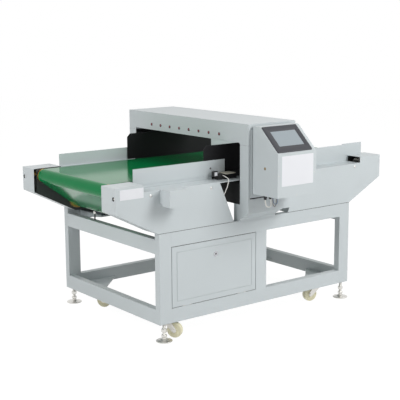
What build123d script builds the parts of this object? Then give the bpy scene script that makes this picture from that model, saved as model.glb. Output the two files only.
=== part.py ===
from build123d import *
from math import asin, atan2, cos, hypot, pi, sin
import os

# Conveyor metal detector. X runs along the belt, from infeed to outfeed, Y across it and Z up.
# All sizes are millimetres, and every height is above the floor unless its name says otherwise.

# Overall sizes
conveyor_length = 1730.0
frame_length = 1260.0
frame_width = 870.0
frame_height = 440.0
floor_clearance = 88.0
belt_edge_inset = 135.0
belt_above_fold = 30.0
belt_thickness = 2.0
running_gap = 0.3
shaft_clearance = 0.05
cut_margin = 5.0

# Frame tubes
tube_width = 70.0
tube_depth = 35.0
tube_wall = 3.0
end_rail_drop = 30.0
support_stud_radius = 4.0
support_stud_height = 48.0
support_nut_radius = 7.0
support_nut_height = 14.0
support_stud_from_middle = 155.0

# Levelling feet
pad_radius = 40.0
pad_edge_height = 6.0
pad_hub_radius = 11.0
pad_hub_height = 18.0
spindle_radius = 8.0
spindle_in_leg = 60.0
flat_nut_gap = 3.0
flat_nut_height = 12.0
lock_nut_gap = 13.0
lock_nut_height = 16.0
foot_nut_radius = 14.0
foot_insert_height = 10.0

# Swivel casters
corner_plate_reach = 255.0
corner_plate_rise = 14.0
corner_plate_thickness = 6.0
caster_wheel_radius = 37.5
caster_wheel_width = 26.0
caster_hub_width = 30.0
caster_hub_radius = 13.0
caster_rim_round = 5.0
caster_lift = 2.5
caster_trail = 38.0
caster_axle_radius = 4.0
caster_axle_head_radius = 7.0
caster_axle_head_height = 4.0
caster_cheek_thickness = 3.0
caster_cheek_gap = 0.5
caster_cheek_end_radius = 11.0
caster_crown_gap = 2.5
caster_crown_height = 6.0
caster_crown_radius = 19.0
caster_ring_height = 4.0
caster_cup_radius = 20.0
caster_stem_radius = 6.0
caster_stem_end = 5.0
caster_stem_head_radius = 9.0
caster_stem_head_height = 2.5
caster_nut_radius = 11.0
caster_nut_height = 9.0
caster_insets = {
    "front_left": (15.0, 25.0),
    "front_right": (113.0, 22.0),
    "rear_left": (19.0, 135.0),
    "rear_right": (19.0, 135.0),
}
caster_headings_degrees = {
    "front_left": -52.5,
    "front_right": 161.6,
    "rear_left": -52.5,
    "rear_right": -52.5,
}

# Conveyor covers and side plates
sheet = 2.0
cover_channel_width = 119.0
cover_fold_above_frame = 208.0
cover_gap_at_frame = 26.5
cover_gap_at_fold = 115.5
cap_rise = 32.0
cap_length = 156.0
cap_end_height = 120.0
cap_hole_radius = 10.0
cap_hole_from_outside = 16.0
cap_hole_below_top = 49.0
cap_window_margin = 3.0
side_plate_thickness = 4.0
side_plate_end_inset = 15.0
side_plate_foot_width = 110.0
side_plate_foot_thickness = 3.0
side_plate_foot_inset = 16.0

# Bed of the conveyor
bed_rail_end_inset = 100.0
bed_rail_thickness = 4.0
bed_rail_web_height = 10.0
slider_thickness = 3.0
slider_above_rail = 6.0
slider_end_inset = 91.0
tie_width = 40.0
tie_height = 18.0
tie_foot_width = 11.0
outer_tie_inset = 50.0
ties_per_side = 2
end_tie_inset = 135.0

# Guards and the tunnel's guide plates
guard_inset = 95.0
guard_thickness = 2.0
guard_above_fold = 16.0
guard_height = 76.0
guard_clearance = 7.5
guard_end_inset = 160.0
guard_step = 5.0
guard_step_from_end = 200.0
guard_extension_end_inset = 50.0
strip_thickness = 6.0
strip_height = 30.0
guide_beyond_head = 135.5
guide_height = 137.0
guide_thickness = 3.0
guide_chamfer = 18.0

# Rollers, their shafts and bearings
pulley_radius = 33.0
pulley_inset = 50.0
pulley_collar_radius = 35.0
pulley_collar_gap = 1.0
pulley_collar_width = 7.0
drum_radius = 28.0
drum_from_end = 240.0
drum_above_frame = 57.0
snub_radius = 32.0
snub_from_end = 286.0
return_from_end = 225.0
deflector_below_fold = 32.0
roller_end_inset = 4.0
shaft_radius = 10.0
bearing_boss_radius = 22.0
bearing_ear_radius = 11.0
bearing_ear_spacing = 34.0
bearing_flange_thickness = 8.0
bearing_boss_thickness = 20.0
bearing_bolt_radius = 4.0
shaft_end_length = 4.0
plate_hole_clearance = 3.0

# Belt take-up
take_up_travel = 20.0
carriage_length = 50.0
carriage_height = 46.0
carriage_width = 24.0
carriage_inset = 7.0
guide_bar_height = 6.0
guide_end_thickness = 6.0
take_up_screw_radius = 5.0
take_up_screw_end_inset = 4.0
take_up_screw_clearance = 1.0

# Drive
motor_from_drum = 139.0
motor_shelf_below_rail = 28.0
motor_shelf_thickness = 8.0
motor_shelf_overhang = 12.0
motor_shelf_rib_height = 30.0
motor_shelf_rib_thickness = 6.0
gearbox_half_size = 53.0
gearbox_inset = 145.0
gearbox_depth = 88.0
gearbox_corner_radius = 10.0
gearbox_foot_height = 4.0
motor_radius = 56.0
motor_length = 210.0
motor_cowl_length = 40.0
motor_cowl_radius = 58.0
motor_foot_width = 20.0
terminal_box_size = 70.0
terminal_box_height = 26.0
output_shaft_depth = 40.0
drum_sheave_radius = 40.0
motor_sheave_radius = 32.0
sheave_clearance = 1.5
sheave_width = 13.0
groove_depth = 7.0
groove_base_width = 6.0
groove_mouth_width = 9.0
drive_belt_thickness = 6.0

# Encoder housing on the infeed cover
encoder_neck_depth = 31.0
encoder_neck_width = 84.0
encoder_neck_height = 64.0
encoder_box_depth = 61.0
encoder_box_width = 106.0
encoder_box_height = 80.0
encoder_box_round = 4.0
encoder_shaft_in_box = 34.0
encoder_bore_radius = 13.0

# Detection head
head_length = 305.0
head_overhang = 76.0
head_crown_height = 94.0
head_floor_depth = 107.0
head_skirt_height = 38.0
head_panel_thickness = 3.0
tunnel_clearance = 13.0
tunnel_height = 151.0
tunnel_corner_radius = 10.0
pedestal_overhang = 17.0
pedestal_foot_depth = 32.0
pedestal_foot_height = 13.0
pedestal_end_inset = 77.5
lamp_radius = 5.0
lamp_depth = 3.0
lamp_count = 8
lamp_below_top = 65.0
lamp_row_inset = 219.5
lamp_row_middle = 4.5

# Control box
control_width = 250.0
control_middle = -7.0
control_depth = 177.0
control_height = 328.0
control_top_depth = 49.0
control_slope_height = 117.0
control_below_head = 9.0
bracket_depth = 9.0
bracket_inset = 30.0
bracket_low_inset = 26.0
bracket_top_inset = 17.0
bracket_plate_thickness = 3.0
bracket_plate_beyond = 10.0
bracket_plate_below = 21.0
bezel_width = 222.0
bezel_height = 163.0
bezel_thickness = 5.0
bezel_offset = -9.0
bezel_round = 5.0
screen_width = 158.0
screen_height = 92.0
screen_thickness = 0.6
gland_inset = 28.0
gland_spacing = 32.0
gland_from_rear = 60.0
gland_radius = 9.0
gland_tip_radius = 7.0
gland_height = 14.0
gland_tip_height = 10.0
control_cable_radius = 3.5
control_cable_drop = 22.0

# Product sensor on the bed rail's flange
sensor_before_head = 79.5
sensor_length = 118.0
sensor_from_guard = 9.0
sensor_width = 28.0
sensor_body_height = 24.0
sensor_gap_under = 4.0
sensor_cap_size = 58.0
sensor_cap_offset = 35.0
sensor_cap_thickness = 3.0
sensor_cap_from_guard = 3.0
sensor_cable_radius = 2.2
sensor_cable_offset = 31.0
sensor_cable_edge_offset = 17.0
sensor_cable_lower_offset = 6.0
sensor_cable_height = 16.0
sensor_cable_sag = 8.0
sensor_cable_overhang = 6.0
sensor_cable_bend = 8.0
sensor_cable_drop = 42.0
sensor_cable_end_drop = 68.0
sensor_cable_end_inset = 5.0

# Cabinet, its door and the parts inside
cabinet_depth = 120.0
cabinet_wall = 2.0
cabinet_front_inset = 5.0
door_gap = 3.0
door_sheet = 2.0
door_flange = 18.0
door_panel_inset = 26.0
door_panel_depth = 1.5
door_panel_rib_width = 4.0
hinge_pin_radius = 1.2
hinge_knuckle_radius = 2.2
hinge_knuckle_length = 12.0
hinge_leaf_length = 26.0
hinge_end_inset = 92.0
hinge_axis_above_rail = 2.4
hinge_axis_behind_face = 2.2
lock_from_post = 259.0
lock_below_rail = 72.3
lock_head_radius = 12.5
lock_head_depth = 2.0
lock_barrel_radius = 8.0
lock_barrel_length = 22.0
lock_plug_radius = 5.0
lock_slot_width = 2.5
cam_length = 62.0
cam_width = 14.0
cam_thickness = 3.0
keeper_width = 20.0
keeper_length = 14.0
keeper_thickness = 2.0
back_plate_inset = 14.0
back_plate_thickness = 3.0
duct_height = 26.0
duct_depth = 30.0
din_rail_height = 35.0
din_rail_depth = 7.0
device_row_share = 0.25
# Devices on the upper and lower rail, as width, height and depth, from the left.
upper_devices = [(54.0, 80.0, 42.0), (45.0, 76.0, 48.0), (45.0, 76.0, 48.0), (120.0, 72.0, 24.0)]
lower_devices = [(110.0, 84.0, 44.0), (72.0, 84.0, 40.0), (140.0, 60.0, 26.0)]
device_gap = 10.0

# Places worked out from the sizes above
frame_low = floor_clearance
frame_top = floor_clearance + frame_height
half_length = conveyor_length / 2
half_frame = frame_length / 2
half_width = frame_width / 2
leg_inner_x = half_frame - tube_width
rail_inner_y = half_width - tube_depth
bay_low = frame_low + tube_width
bay_top = frame_top - tube_width
end_rail_top = frame_top - end_rail_drop
flat_nut_low = pad_hub_height + flat_nut_gap
lock_nut_low = flat_nut_low + flat_nut_height + lock_nut_gap
corner_plate_low = frame_low + corner_plate_rise
corner_plate_top = corner_plate_low + corner_plate_thickness
caster_crown_low = caster_lift + 2 * caster_wheel_radius + caster_crown_gap
caster_crown_top = caster_crown_low + caster_crown_height
caster_cup_low = caster_crown_top + caster_ring_height
caster_stem_top = corner_plate_top + caster_nut_height + caster_stem_end

channel_inner = half_width - cover_channel_width
side_plate_outer = channel_inner + side_plate_thickness
fold_height = frame_top + cover_fold_above_frame
cap_top = fold_height + cap_rise
cap_start = half_length - cap_length
cap_hole_y = half_width - cap_hole_from_outside
cap_hole_height = cap_top - cap_hole_below_top
bed_rail_half_length = half_frame - bed_rail_end_inset
bed_rail_top = fold_height - sheet
bed_rail_low = bed_rail_top - bed_rail_thickness - bed_rail_web_height
belt_height = fold_height + belt_above_fold
slider_top = belt_height - belt_thickness
slider_side_low = bed_rail_top + slider_above_rail
half_belt = half_width - belt_edge_inset
tie_foot_reach = side_plate_outer + tie_foot_width
tie_spacing = (bed_rail_half_length - outer_tie_inset) / ties_per_side
guard_face = half_width - guard_inset
guard_low = fold_height + guard_above_fold
guard_top = guard_low + guard_height

pulley_x = half_length - pulley_inset
pulley_height = slider_top - pulley_radius
drum_x = -half_length + drum_from_end
drum_height = frame_top + drum_above_frame
snub_x = -half_length + snub_from_end
return_x = half_length - return_from_end
deflector_height = fold_height - deflector_below_fold
roller_half_length = half_belt - roller_end_inset
carriage_outer_face = half_width - carriage_inset
motor_x = drum_x + motor_from_drum
motor_shelf_low = frame_top - motor_shelf_below_rail
motor_shelf_top = motor_shelf_low + motor_shelf_thickness
motor_height = motor_shelf_top + gearbox_foot_height + gearbox_half_size
gearbox_outer_face = half_width - gearbox_inset
gearbox_inner_face = gearbox_outer_face - gearbox_depth
sheave_inner_face = channel_inner - sheave_clearance - sheave_width

half_head = head_length / 2
half_head_width = half_width + head_overhang
half_tunnel = half_width + tunnel_clearance
tunnel_floor = bed_rail_low
tunnel_top = belt_height + tunnel_height
head_top = tunnel_top + head_crown_height
head_base = tunnel_floor - head_floor_depth
head_panel_low = head_base - head_skirt_height
pedestal_outer = half_width + pedestal_overhang
pedestal_inner = half_width - pedestal_foot_depth
pedestal_end = half_head - pedestal_end_inset
pedestal_step_height = frame_top + pedestal_foot_height
lamp_height = head_top - lamp_below_top
lamp_span = 2 * (half_head_width - lamp_row_inset)
cover_gap_low = half_head + cover_gap_at_frame
cover_gap_high = half_head + cover_gap_at_fold
guard_start = half_head + guard_clearance
guide_half_length = half_head + guide_beyond_head

control_start = control_middle - control_width / 2
control_end = control_middle + control_width / 2
control_rear = half_head_width + bracket_depth
control_front = control_rear + control_depth
control_top = head_top - control_below_head
control_slope_low = control_top - control_slope_height
control_base = control_top - control_height
bracket_low = control_base + bracket_low_inset
bracket_high = control_top - bracket_top_inset
bezel_middle = control_middle + bezel_offset
gland_left = control_start + gland_inset
gland_right = gland_left + gland_spacing
gland_y = -(control_rear + gland_from_rear)
sensor_start = -half_head - sensor_before_head
sensor_inner = guard_face + sensor_from_guard
sensor_outer = sensor_inner + sensor_width
sensor_cap_start = sensor_start + sensor_cap_offset
sensor_cap_inner = guard_face + sensor_cap_from_guard
cabinet_back = -half_width + cabinet_depth
lock_x = -tube_width / 2 - lock_from_post
lock_height = bay_top - lock_below_rail
middle_y = (half_head_width - control_front) / 2


def block(x0, x1, y0, y1, z0, z1):
    """A rectangular block between two places on each axis."""
    size = Box(abs(x1 - x0), abs(y1 - y0), abs(z1 - z0))
    return Pos((x0 + x1) / 2, (y0 + y1) / 2, (z0 + z1) / 2) * size


def plate_xz(outline, y0, y1):
    """A plate with its outline in X and Z, between two places on Y."""
    low, high = min(y0, y1), max(y0, y1)
    edge = Polyline(*[(x, low, z) for x, z in outline], close=True)
    return extrude(make_face(edge), amount=high - low, dir=(0, 1, 0))


def plate_yz(outline, x0, x1):
    """A plate with its outline in Y and Z, between two places on X."""
    edge = Polyline(*[(x0, y, z) for y, z in outline], close=True)
    return extrude(make_face(edge), amount=x1 - x0, dir=(1, 0, 0))


def rod_x(y, z, radius, x0, x1):
    """A round rod along X."""
    return Pos((x0 + x1) / 2, y, z) * Rot(0, 90, 0) * Cylinder(radius, abs(x1 - x0))


def rod_y(x, z, radius, y0, y1):
    """A round rod along Y."""
    return Pos(x, (y0 + y1) / 2, z) * Rot(90, 0, 0) * Cylinder(radius, abs(y1 - y0))


def rod_z(x, y, radius, z0, z1):
    """A round rod along Z."""
    return Pos(x, y, (z0 + z1) / 2) * Cylinder(radius, z1 - z0)


def tube(x0, x1, y0, y1, z0, z1, along):
    """A rectangular tube whose bore runs along one axis."""
    grow = {axis: -tube_wall for axis in "xyz"}
    grow[along] = cut_margin
    bore = block(
        x0 - grow["x"], x1 + grow["x"], y0 - grow["y"], y1 + grow["y"], z0 - grow["z"], z1 + grow["z"]
    )
    return block(x0, x1, y0, y1, z0, z1) - bore


def across(shape):
    """A shape and its mirror image on the other side of the belt."""
    return [shape, mirror(shape, about=Plane.XZ)]


def along(shape):
    """A shape and its mirror image at the other end of the conveyor."""
    return [shape, mirror(shape, about=Plane.YZ)]


def four(shape):
    """A shape and its mirror images at the other three corners."""
    return [copy for side in across(shape) for copy in along(side)]


def loop_edges(wheels):
    """Edges of the closed line round wheels given as (x, z, radius, turn), in the order that it meets them.
    turn is -1 where the line goes round a wheel clockwise, and 1 where it goes the other way."""
    headings = []
    for (x0, z0, r0, turn0), (x1, z1, r1, turn1) in zip(wheels, wheels[1:] + wheels[:1]):
        span = hypot(x1 - x0, z1 - z0)
        headings.append(atan2(z1 - z0, x1 - x0) - asin((turn1 * r1 - turn0 * r0) / span))
    touch = []
    for (x, z, radius, turn), before, after in zip(wheels, headings[-1:] + headings[:-1], headings):
        sweep = (turn * (after - before)) % (2 * pi) * turn
        angles = [before, before + sweep / 2, before + sweep]
        touch.append([(x + turn * radius * sin(a), 0, z - turn * radius * cos(a)) for a in angles])
    edges = []
    for arc, following in zip(touch, touch[1:] + touch[:1]):
        edges.append(ThreePointArc(*arc))
        edges.append(Line(arc[2], following[0]))
    return edges


def band(wheels, thickness, y0, y1):
    """An endless belt round wheels whose radii are those of its inner side where it turns clockwise."""
    inner = [(x, z, r if turn < 0 else r + thickness, turn) for x, z, r, turn in wheels]
    outer = [(x, z, r + thickness if turn < 0 else r, turn) for x, z, r, turn in wheels]
    faces = [Pos(0, y0, 0) * make_face(Curve() + loop_edges(loop)) for loop in (inner, outer)]
    inside, whole = [extrude(face, amount=y1 - y0, dir=(0, 1, 0)) for face in faces]
    return whole - inside


def save(name, *shapes):
    """Writes one node, moved so that the whole part stands with the middle of its box on the origin."""
    solids = [Pos(0, -middle_y, 0) * solid for shape in shapes for solid in shape.solids()]
    export_step(Compound(solids), f"parts/{name}.step")


# Frame


def frame_legs():
    """Four upright tubes, closed at the top."""
    leg = tube(leg_inner_x, half_frame, rail_inner_y, half_width, frame_low, frame_top, "z")
    lid = block(leg_inner_x, half_frame, rail_inner_y, half_width, frame_top - tube_wall, frame_top)
    return four(leg + lid)


def frame_long_rails():
    """The front and rear tubes at the top and the bottom."""
    rails = []
    for low in (frame_low, frame_top - tube_width):
        rail = tube(-leg_inner_x, leg_inner_x, rail_inner_y, half_width, low, low + tube_width, "x")
        rails += across(rail)
    return rails


def frame_end_rails():
    """The tubes across both ends. The top ones lie lower than the long rails."""
    rails = []
    for low in (frame_low, end_rail_top - tube_width):
        inner = half_frame - tube_depth
        rail = tube(inner, half_frame, -rail_inner_y, rail_inner_y, low, low + tube_width, "y")
        rails += along(rail)
    return rails


def frame_posts():
    """The upright in the middle of the front and of the rear."""
    return across(tube(-tube_width / 2, tube_width / 2, rail_inner_y, half_width, bay_low, bay_top, "z"))


def support_stud():
    """The stud with its nut that stands on the infeed end rail, under the drum."""
    x = -half_frame + tube_depth / 2
    top = end_rail_top + support_stud_height
    stud = rod_z(x, support_stud_from_middle, support_stud_radius, end_rail_top, top)
    nut = extrude(RegularPolygon(support_nut_radius, 6), amount=support_nut_height)
    return stud + Pos(x, support_stud_from_middle, top - support_nut_height) * nut


def leg_foot_inserts():
    """The plates in the legs' lower ends that the feet's spindles pass."""
    insert = block(
        leg_inner_x + tube_wall,
        half_frame - tube_wall,
        rail_inner_y + tube_wall,
        half_width - tube_wall,
        frame_low,
        frame_low + foot_insert_height,
    )
    x, y = half_frame - tube_width / 2, half_width - tube_depth / 2
    top = frame_low + foot_insert_height + cut_margin
    hole = rod_z(x, y, spindle_radius + shaft_clearance, frame_low - cut_margin, top)
    return four(insert - hole)


def foot(x, y):
    """A levelling foot: a dished pad with its spindle and fixed nut, and a lock nut."""
    top = frame_low + spindle_in_leg
    profile = Polyline(
        (0, 0, 0),
        (pad_radius, 0, 0),
        (pad_radius, 0, pad_edge_height),
        (pad_hub_radius, 0, pad_hub_height),
        (spindle_radius, 0, pad_hub_height),
        (spindle_radius, 0, top),
        (0, 0, top),
        close=True,
    )
    nut = Pos(0, 0, flat_nut_low) * extrude(RegularPolygon(foot_nut_radius, 6), amount=flat_nut_height)
    stem = revolve(make_face(profile), Axis.Z) + nut
    lock = Pos(0, 0, lock_nut_low) * extrude(RegularPolygon(foot_nut_radius, 6), amount=lock_nut_height)
    lock_top = lock_nut_low + lock_nut_height
    lock -= rod_z(0, 0, spindle_radius, lock_nut_low - cut_margin, lock_top + cut_margin)
    return [Pos(x, y, 0) * stem, Pos(x, y, 0) * lock]


# Casters


def caster_place(corner):
    """A swivel axis in the frame, from how far it lies inside the corner's leg and rail."""
    inset_x, inset_y = caster_insets[corner]
    x_side = -1 if corner.endswith("left") else 1
    y_side = -1 if corner.startswith("front") else 1
    return x_side * (leg_inner_x - inset_x), y_side * (rail_inner_y - inset_y)


def corner_plates():
    """A three-sided plate in each lower corner of the frame, with the hole for a caster's stem."""
    x, y = half_frame - tube_depth, rail_inner_y
    low, high = corner_plate_low, corner_plate_top
    reach = corner_plate_reach
    outline = Polyline((x, y, low), (x - reach, y, low), (x, y - reach, low), close=True)
    plates = four(extrude(make_face(outline), amount=high - low, dir=(0, 0, 1)))
    for corner in caster_insets:
        place_x, place_y = caster_place(corner)
        hole = rod_z(place_x, place_y, caster_stem_radius, low - cut_margin, high + cut_margin)
        plates = [plate - hole for plate in plates]
    return plates


def caster_stem(corner):
    """The fixed half of a caster: its cup, the pin below it and the threaded stem with its nut."""
    x, y = caster_place(corner)
    head_low = caster_crown_low - running_gap - caster_stem_head_height
    stem = rod_z(0, 0, caster_stem_radius, head_low, caster_stem_top)
    stem += rod_z(0, 0, caster_cup_radius, caster_cup_low, corner_plate_low)
    stem += rod_z(0, 0, caster_stem_head_radius, head_low, head_low + caster_stem_head_height)
    nut = extrude(RegularPolygon(caster_nut_radius, 6), amount=caster_nut_height)
    return Pos(x, y, 0) * (stem + Pos(0, 0, corner_plate_top) * nut)


def caster_fork(corner):
    """The swivelling crown with a cheek on each side of the wheel, and the axle bolt through them."""
    x, y = caster_place(corner)
    axle_z = caster_lift + caster_wheel_radius
    reach = caster_crown_radius
    inner = caster_hub_width / 2 + caster_cheek_gap
    outer = inner + caster_cheek_thickness
    ring = Circle(caster_cheek_end_radius)
    eye = Pos(caster_trail, axle_z) * ring
    top = Pos(0, caster_crown_low + caster_crown_height / 2) * Rectangle(2 * reach, caster_crown_height)
    profile = make_hull((eye + top).edges())
    cheek = extrude(Plane.XZ * profile, amount=caster_cheek_thickness)
    fork = Pos(0, -inner, 0) * cheek + Pos(0, outer, 0) * cheek
    fork += block(-reach, reach, -outer, outer, caster_crown_low, caster_crown_top)
    fork += rod_z(0, 0, caster_crown_radius, caster_crown_top, caster_cup_low - running_gap)
    fork -= rod_z(0, 0, caster_stem_radius + shaft_clearance, caster_crown_low - cut_margin, caster_cup_low)
    fork -= rod_y(caster_trail, axle_z, caster_axle_radius, -outer - cut_margin, outer + cut_margin)
    head_end = outer + caster_axle_head_height
    axle = rod_y(caster_trail, axle_z, caster_axle_radius, -head_end, head_end)
    for side in (-1, 1):
        axle += rod_y(caster_trail, axle_z, caster_axle_head_radius, side * outer, side * head_end)
    place = Pos(x, y, 0) * Rot(0, 0, caster_headings_degrees[corner])
    return [place * fork, place * axle]


def caster_wheel(corner):
    """A cast wheel with a rounded tread and a raised hub."""
    x, y = caster_place(corner)
    wheel = Cylinder(caster_wheel_radius, caster_wheel_width)
    rims = wheel.edges().filter_by(GeomType.CIRCLE)
    wheel = fillet(rims, caster_rim_round) + Cylinder(caster_hub_radius, caster_hub_width)
    wheel -= Cylinder(caster_axle_radius + shaft_clearance, caster_hub_width + cut_margin)
    place = Pos(x, y, 0) * Rot(0, 0, caster_headings_degrees[corner])
    return place * Pos(caster_trail, 0, caster_lift + caster_wheel_radius) * Rot(90, 0, 0) * wheel


# Conveyor body


def cover_outline(end_inset, top, low):
    """The outline in X and Z of one end of the conveyor's side, for the infeed."""
    slope = (cap_top - cap_end_height - frame_top) / (half_length - half_frame)
    end_low = cap_top - cap_end_height - slope * end_inset
    fold_x = cover_gap_low + (cover_gap_high - cover_gap_low) * (low - frame_top) / cover_fold_above_frame
    return [
        (-half_length + end_inset, end_low),
        (-half_length + end_inset, top),
        (-cap_start, top),
        (-cap_start, fold_height),
        (-cover_gap_high, fold_height),
        (-fold_x, low),
        (-half_frame, frame_top),
    ]


def cover_room():
    """The space inside a cover, whose plates are one sheet thick."""
    edge = Polyline(*[(x, 0, z) for x, z in cover_outline(0, cap_top, frame_top)], close=True)
    inner = offset(make_face(edge), -sheet, kind=Kind.INTERSECTION)
    depth = half_width - sheet - side_plate_outer
    room = extrude(inner, amount=depth + cut_margin, dir=(0, 1, 0))
    return Pos(0, side_plate_outer - cut_margin, 0) * room


def cover_openings():
    """What is cut from a cover: its open foot, the belt's side, the bed rail's room and two openings."""
    inner_y = half_width - sheet
    foot_end = -cover_gap_low + cut_margin
    foot = block(-half_frame, foot_end, 0, inner_y, frame_top - cut_margin, frame_top + sheet)
    belt_side = block(-cap_start, 0, 0, guard_face, bed_rail_top, cap_top)
    rail_room = block(-cap_start, 0, 0, inner_y, bed_rail_low, bed_rail_top)
    screw_hole = rod_x(
        cap_hole_y, cap_hole_height, cap_hole_radius, -half_length - cut_margin, -half_length + cut_margin
    )
    window_start = guard_face + cap_window_margin
    window_low, window_high = fold_height, cap_top - sheet
    window_x = -cap_start + cut_margin
    window = block(-cap_start - sheet, window_x, window_start, inner_y, window_low, window_high)
    return [foot, belt_side, rail_room, screw_hole, window]


def cover(front, infeed):
    """One folded cover: its outer plate, the end cap and the folds in to the conveyor's side plate."""
    shell = plate_xz(cover_outline(0, cap_top, frame_top), side_plate_outer, half_width) - cover_room()
    for opening in cover_openings():
        shell -= opening
    if infeed and front:
        bore = encoder_bore_radius
        shell -= rod_y(snub_x, deflector_height, bore, half_width - cut_margin, half_width + cut_margin)
    shell = mirror(shell, about=Plane.XZ) if front else shell
    return shell if infeed else mirror(shell, about=Plane.YZ)


def side_plate(infeed):
    """The plate that carries the rollers at one end, with its foot on the frame's rail."""
    low = frame_top
    outline = cover_outline(side_plate_end_inset, cap_top, low)
    plate = plate_xz(outline, channel_inner, side_plate_outer)
    foot_start = cover_gap_low + side_plate_foot_inset
    foot_end = half_frame - side_plate_foot_inset
    foot_top = low + side_plate_foot_thickness
    foot_outer = channel_inner + side_plate_foot_width
    plate += block(-foot_end, -foot_start, side_plate_outer, foot_outer, low, foot_top)
    hole = shaft_radius + plate_hole_clearance
    y0, y1 = channel_inner - cut_margin, side_plate_outer + cut_margin
    if infeed:
        plate -= rod_y(drum_x, drum_height, hole, y0, y1)
        plate -= rod_y(snub_x, deflector_height, hole, y0, y1)
        plate -= rod_y(-pulley_x, pulley_height, hole, y0, y1)
        plate -= rod_y(-pulley_x + take_up_travel, pulley_height, hole, y0, y1)
        slot_z = (pulley_height - hole, pulley_height + hole)
        plate -= block(-pulley_x, -pulley_x + take_up_travel, y0, y1, *slot_z)
        return plate
    plate -= rod_y(-return_x, deflector_height, hole, y0, y1)
    plate -= rod_y(-pulley_x, pulley_height, hole, y0, y1)
    return mirror(plate, about=Plane.YZ)


def bed_side_rails():
    """Angles along both sides of the bed, through the tunnel. Guards and ties stand on their flanges."""
    low, high = bed_rail_top - bed_rail_thickness, bed_rail_top
    length = bed_rail_half_length
    rail = block(-length, length, side_plate_outer, half_width - sheet, low, high)
    web_outer = side_plate_outer + bed_rail_thickness
    rail += block(-length, length, side_plate_outer, web_outer, bed_rail_low, low)
    return across(rail)


def bed_ties():
    """Cross ties under the slider bed, on the side rails, and one at each end between the side plates."""
    low, high = slider_side_low, slider_side_low + tie_height
    ties = []
    for step in range(-ties_per_side, ties_per_side + 1):
        x0, x1 = step * tie_spacing - tie_width / 2, step * tie_spacing + tie_width / 2
        tie = block(x0, x1, -tie_foot_reach, tie_foot_reach, low, high)
        for foot_side in across(block(x0, x1, side_plate_outer, tie_foot_reach, bed_rail_top, low)):
            tie += foot_side
        ties.append(tie)
    x1 = half_length - end_tie_inset
    ties += along(block(x1 - tie_width, x1, -channel_inner, channel_inner, low, high))
    return ties


def slider_bed():
    """The steel bed that the belt slides on, with its sides folded down."""
    length = half_length - slider_end_inset
    bed = block(-length, length, -half_belt, half_belt, slider_side_low, slider_top)
    inner = half_belt - slider_thickness
    bed -= block(-length - cut_margin, length + cut_margin, -inner, inner, 0, slider_top - slider_thickness)
    for tie in bed_ties():
        box = tie.bounding_box()
        tie_top = slider_side_low + tie_height
        bed -= block(box.min.X, box.max.X, -half_width, half_width, slider_side_low, tie_top)
    return bed


def conveyor_belt():
    """The endless belt round the end pulleys, the drive drum and the two deflecting rollers."""
    wheels = [
        (-pulley_x, pulley_height, pulley_radius, -1),
        (pulley_x, pulley_height, pulley_radius, -1),
        (return_x, deflector_height, snub_radius, 1),
        (snub_x, deflector_height, snub_radius, 1),
        (drum_x, drum_height, drum_radius, -1),
    ]
    return band(wheels, belt_thickness, -half_belt, half_belt)


def side_strips():
    """The dark strips between the bed rails and the guards."""
    length = half_length - guard_end_inset
    outer = guard_face - guard_thickness
    low = bed_rail_top
    return across(block(-length, length, outer - strip_thickness, outer, low, low + strip_height))


def infeed_guards():
    """The upright plates along both sides of the belt before the tunnel."""
    start = half_length - guard_end_inset
    inner = guard_face - guard_thickness
    return across(block(-start, -guard_start, inner, guard_face, guard_low, guard_top))


def outfeed_guards():
    """The plates after the tunnel, down to the bed rails. Their ends step up and stand on the end caps."""
    strip_end = half_length - guard_end_inset
    step_x = half_length - guard_step_from_end
    end = half_length - guard_extension_end_inset
    outline = [
        (guard_start, bed_rail_top),
        (strip_end, bed_rail_top),
        (strip_end, cap_top),
        (end, cap_top),
        (end, guard_top + guard_step),
        (step_x, guard_top + guard_step),
        (step_x, guard_top),
        (guard_start, guard_top),
    ]
    return across(plate_xz(outline, guard_face - guard_thickness, guard_face))


def tunnel_guide_plates():
    """Black plates that line the tunnel's sides, with their upper corners cut off."""
    low = bed_rail_top + strip_height
    top = low + guide_height
    length = guide_half_length
    outline = [
        (-length, low),
        (length, low),
        (length, top - guide_chamfer),
        (length - guide_chamfer, top),
        (-length + guide_chamfer, top),
        (-length, top - guide_chamfer),
    ]
    inner = guard_face - guard_thickness - strip_thickness
    return across(plate_xz(outline, inner, inner + guide_thickness))


# Rollers


def roller(x, z, radius, front_end, rear_end):
    """A drum on its shaft, a running gap smaller than the belt's turn."""
    body = rod_y(x, z, radius - running_gap, -roller_half_length, roller_half_length)
    return body + rod_y(x, z, shaft_radius, -front_end, rear_end)


def pulley(x, front_end, rear_end):
    """An end roller, with a collar just outside each edge of the belt."""
    body = roller(x, pulley_height, pulley_radius, front_end, rear_end)
    y0 = half_belt + pulley_collar_gap
    for collar in across(rod_y(x, pulley_height, pulley_collar_radius, y0, y0 + pulley_collar_width)):
        body += collar
    return body


def shaft_end():
    """How far from the middle a shaft ends outside its bearing."""
    return side_plate_outer + bearing_boss_thickness + shaft_end_length


def sheave(x, z, radius, shaft):
    """A grooved wheel for the drive belt, on the outer end of a shaft."""
    half = sheave_width / 2
    mouth, base = groove_mouth_width / 2, groove_base_width / 2
    profile = Polyline(
        (shaft, -half),
        (radius, -half),
        (radius, -mouth),
        (radius - groove_depth, -base),
        (radius - groove_depth, base),
        (radius, mouth),
        (radius, half),
        (shaft, half),
        close=True,
    )
    wheel = revolve(Plane.XZ * make_face(profile), Axis.Z)
    return Pos(x, sheave_inner_face + half, z) * Rot(90, 0, 0) * wheel


def drive_drum():
    """The drum that pulls the belt, with the sheave on its rear end."""
    return roller(drum_x, drum_height, drum_radius, shaft_end(), shaft_end())


def snub_roller():
    """The roller over the drum. Its front shaft reaches into the encoder housing."""
    front = half_width + encoder_neck_depth + encoder_shaft_in_box
    return roller(snub_x, deflector_height, snub_radius, front, shaft_end())


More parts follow.
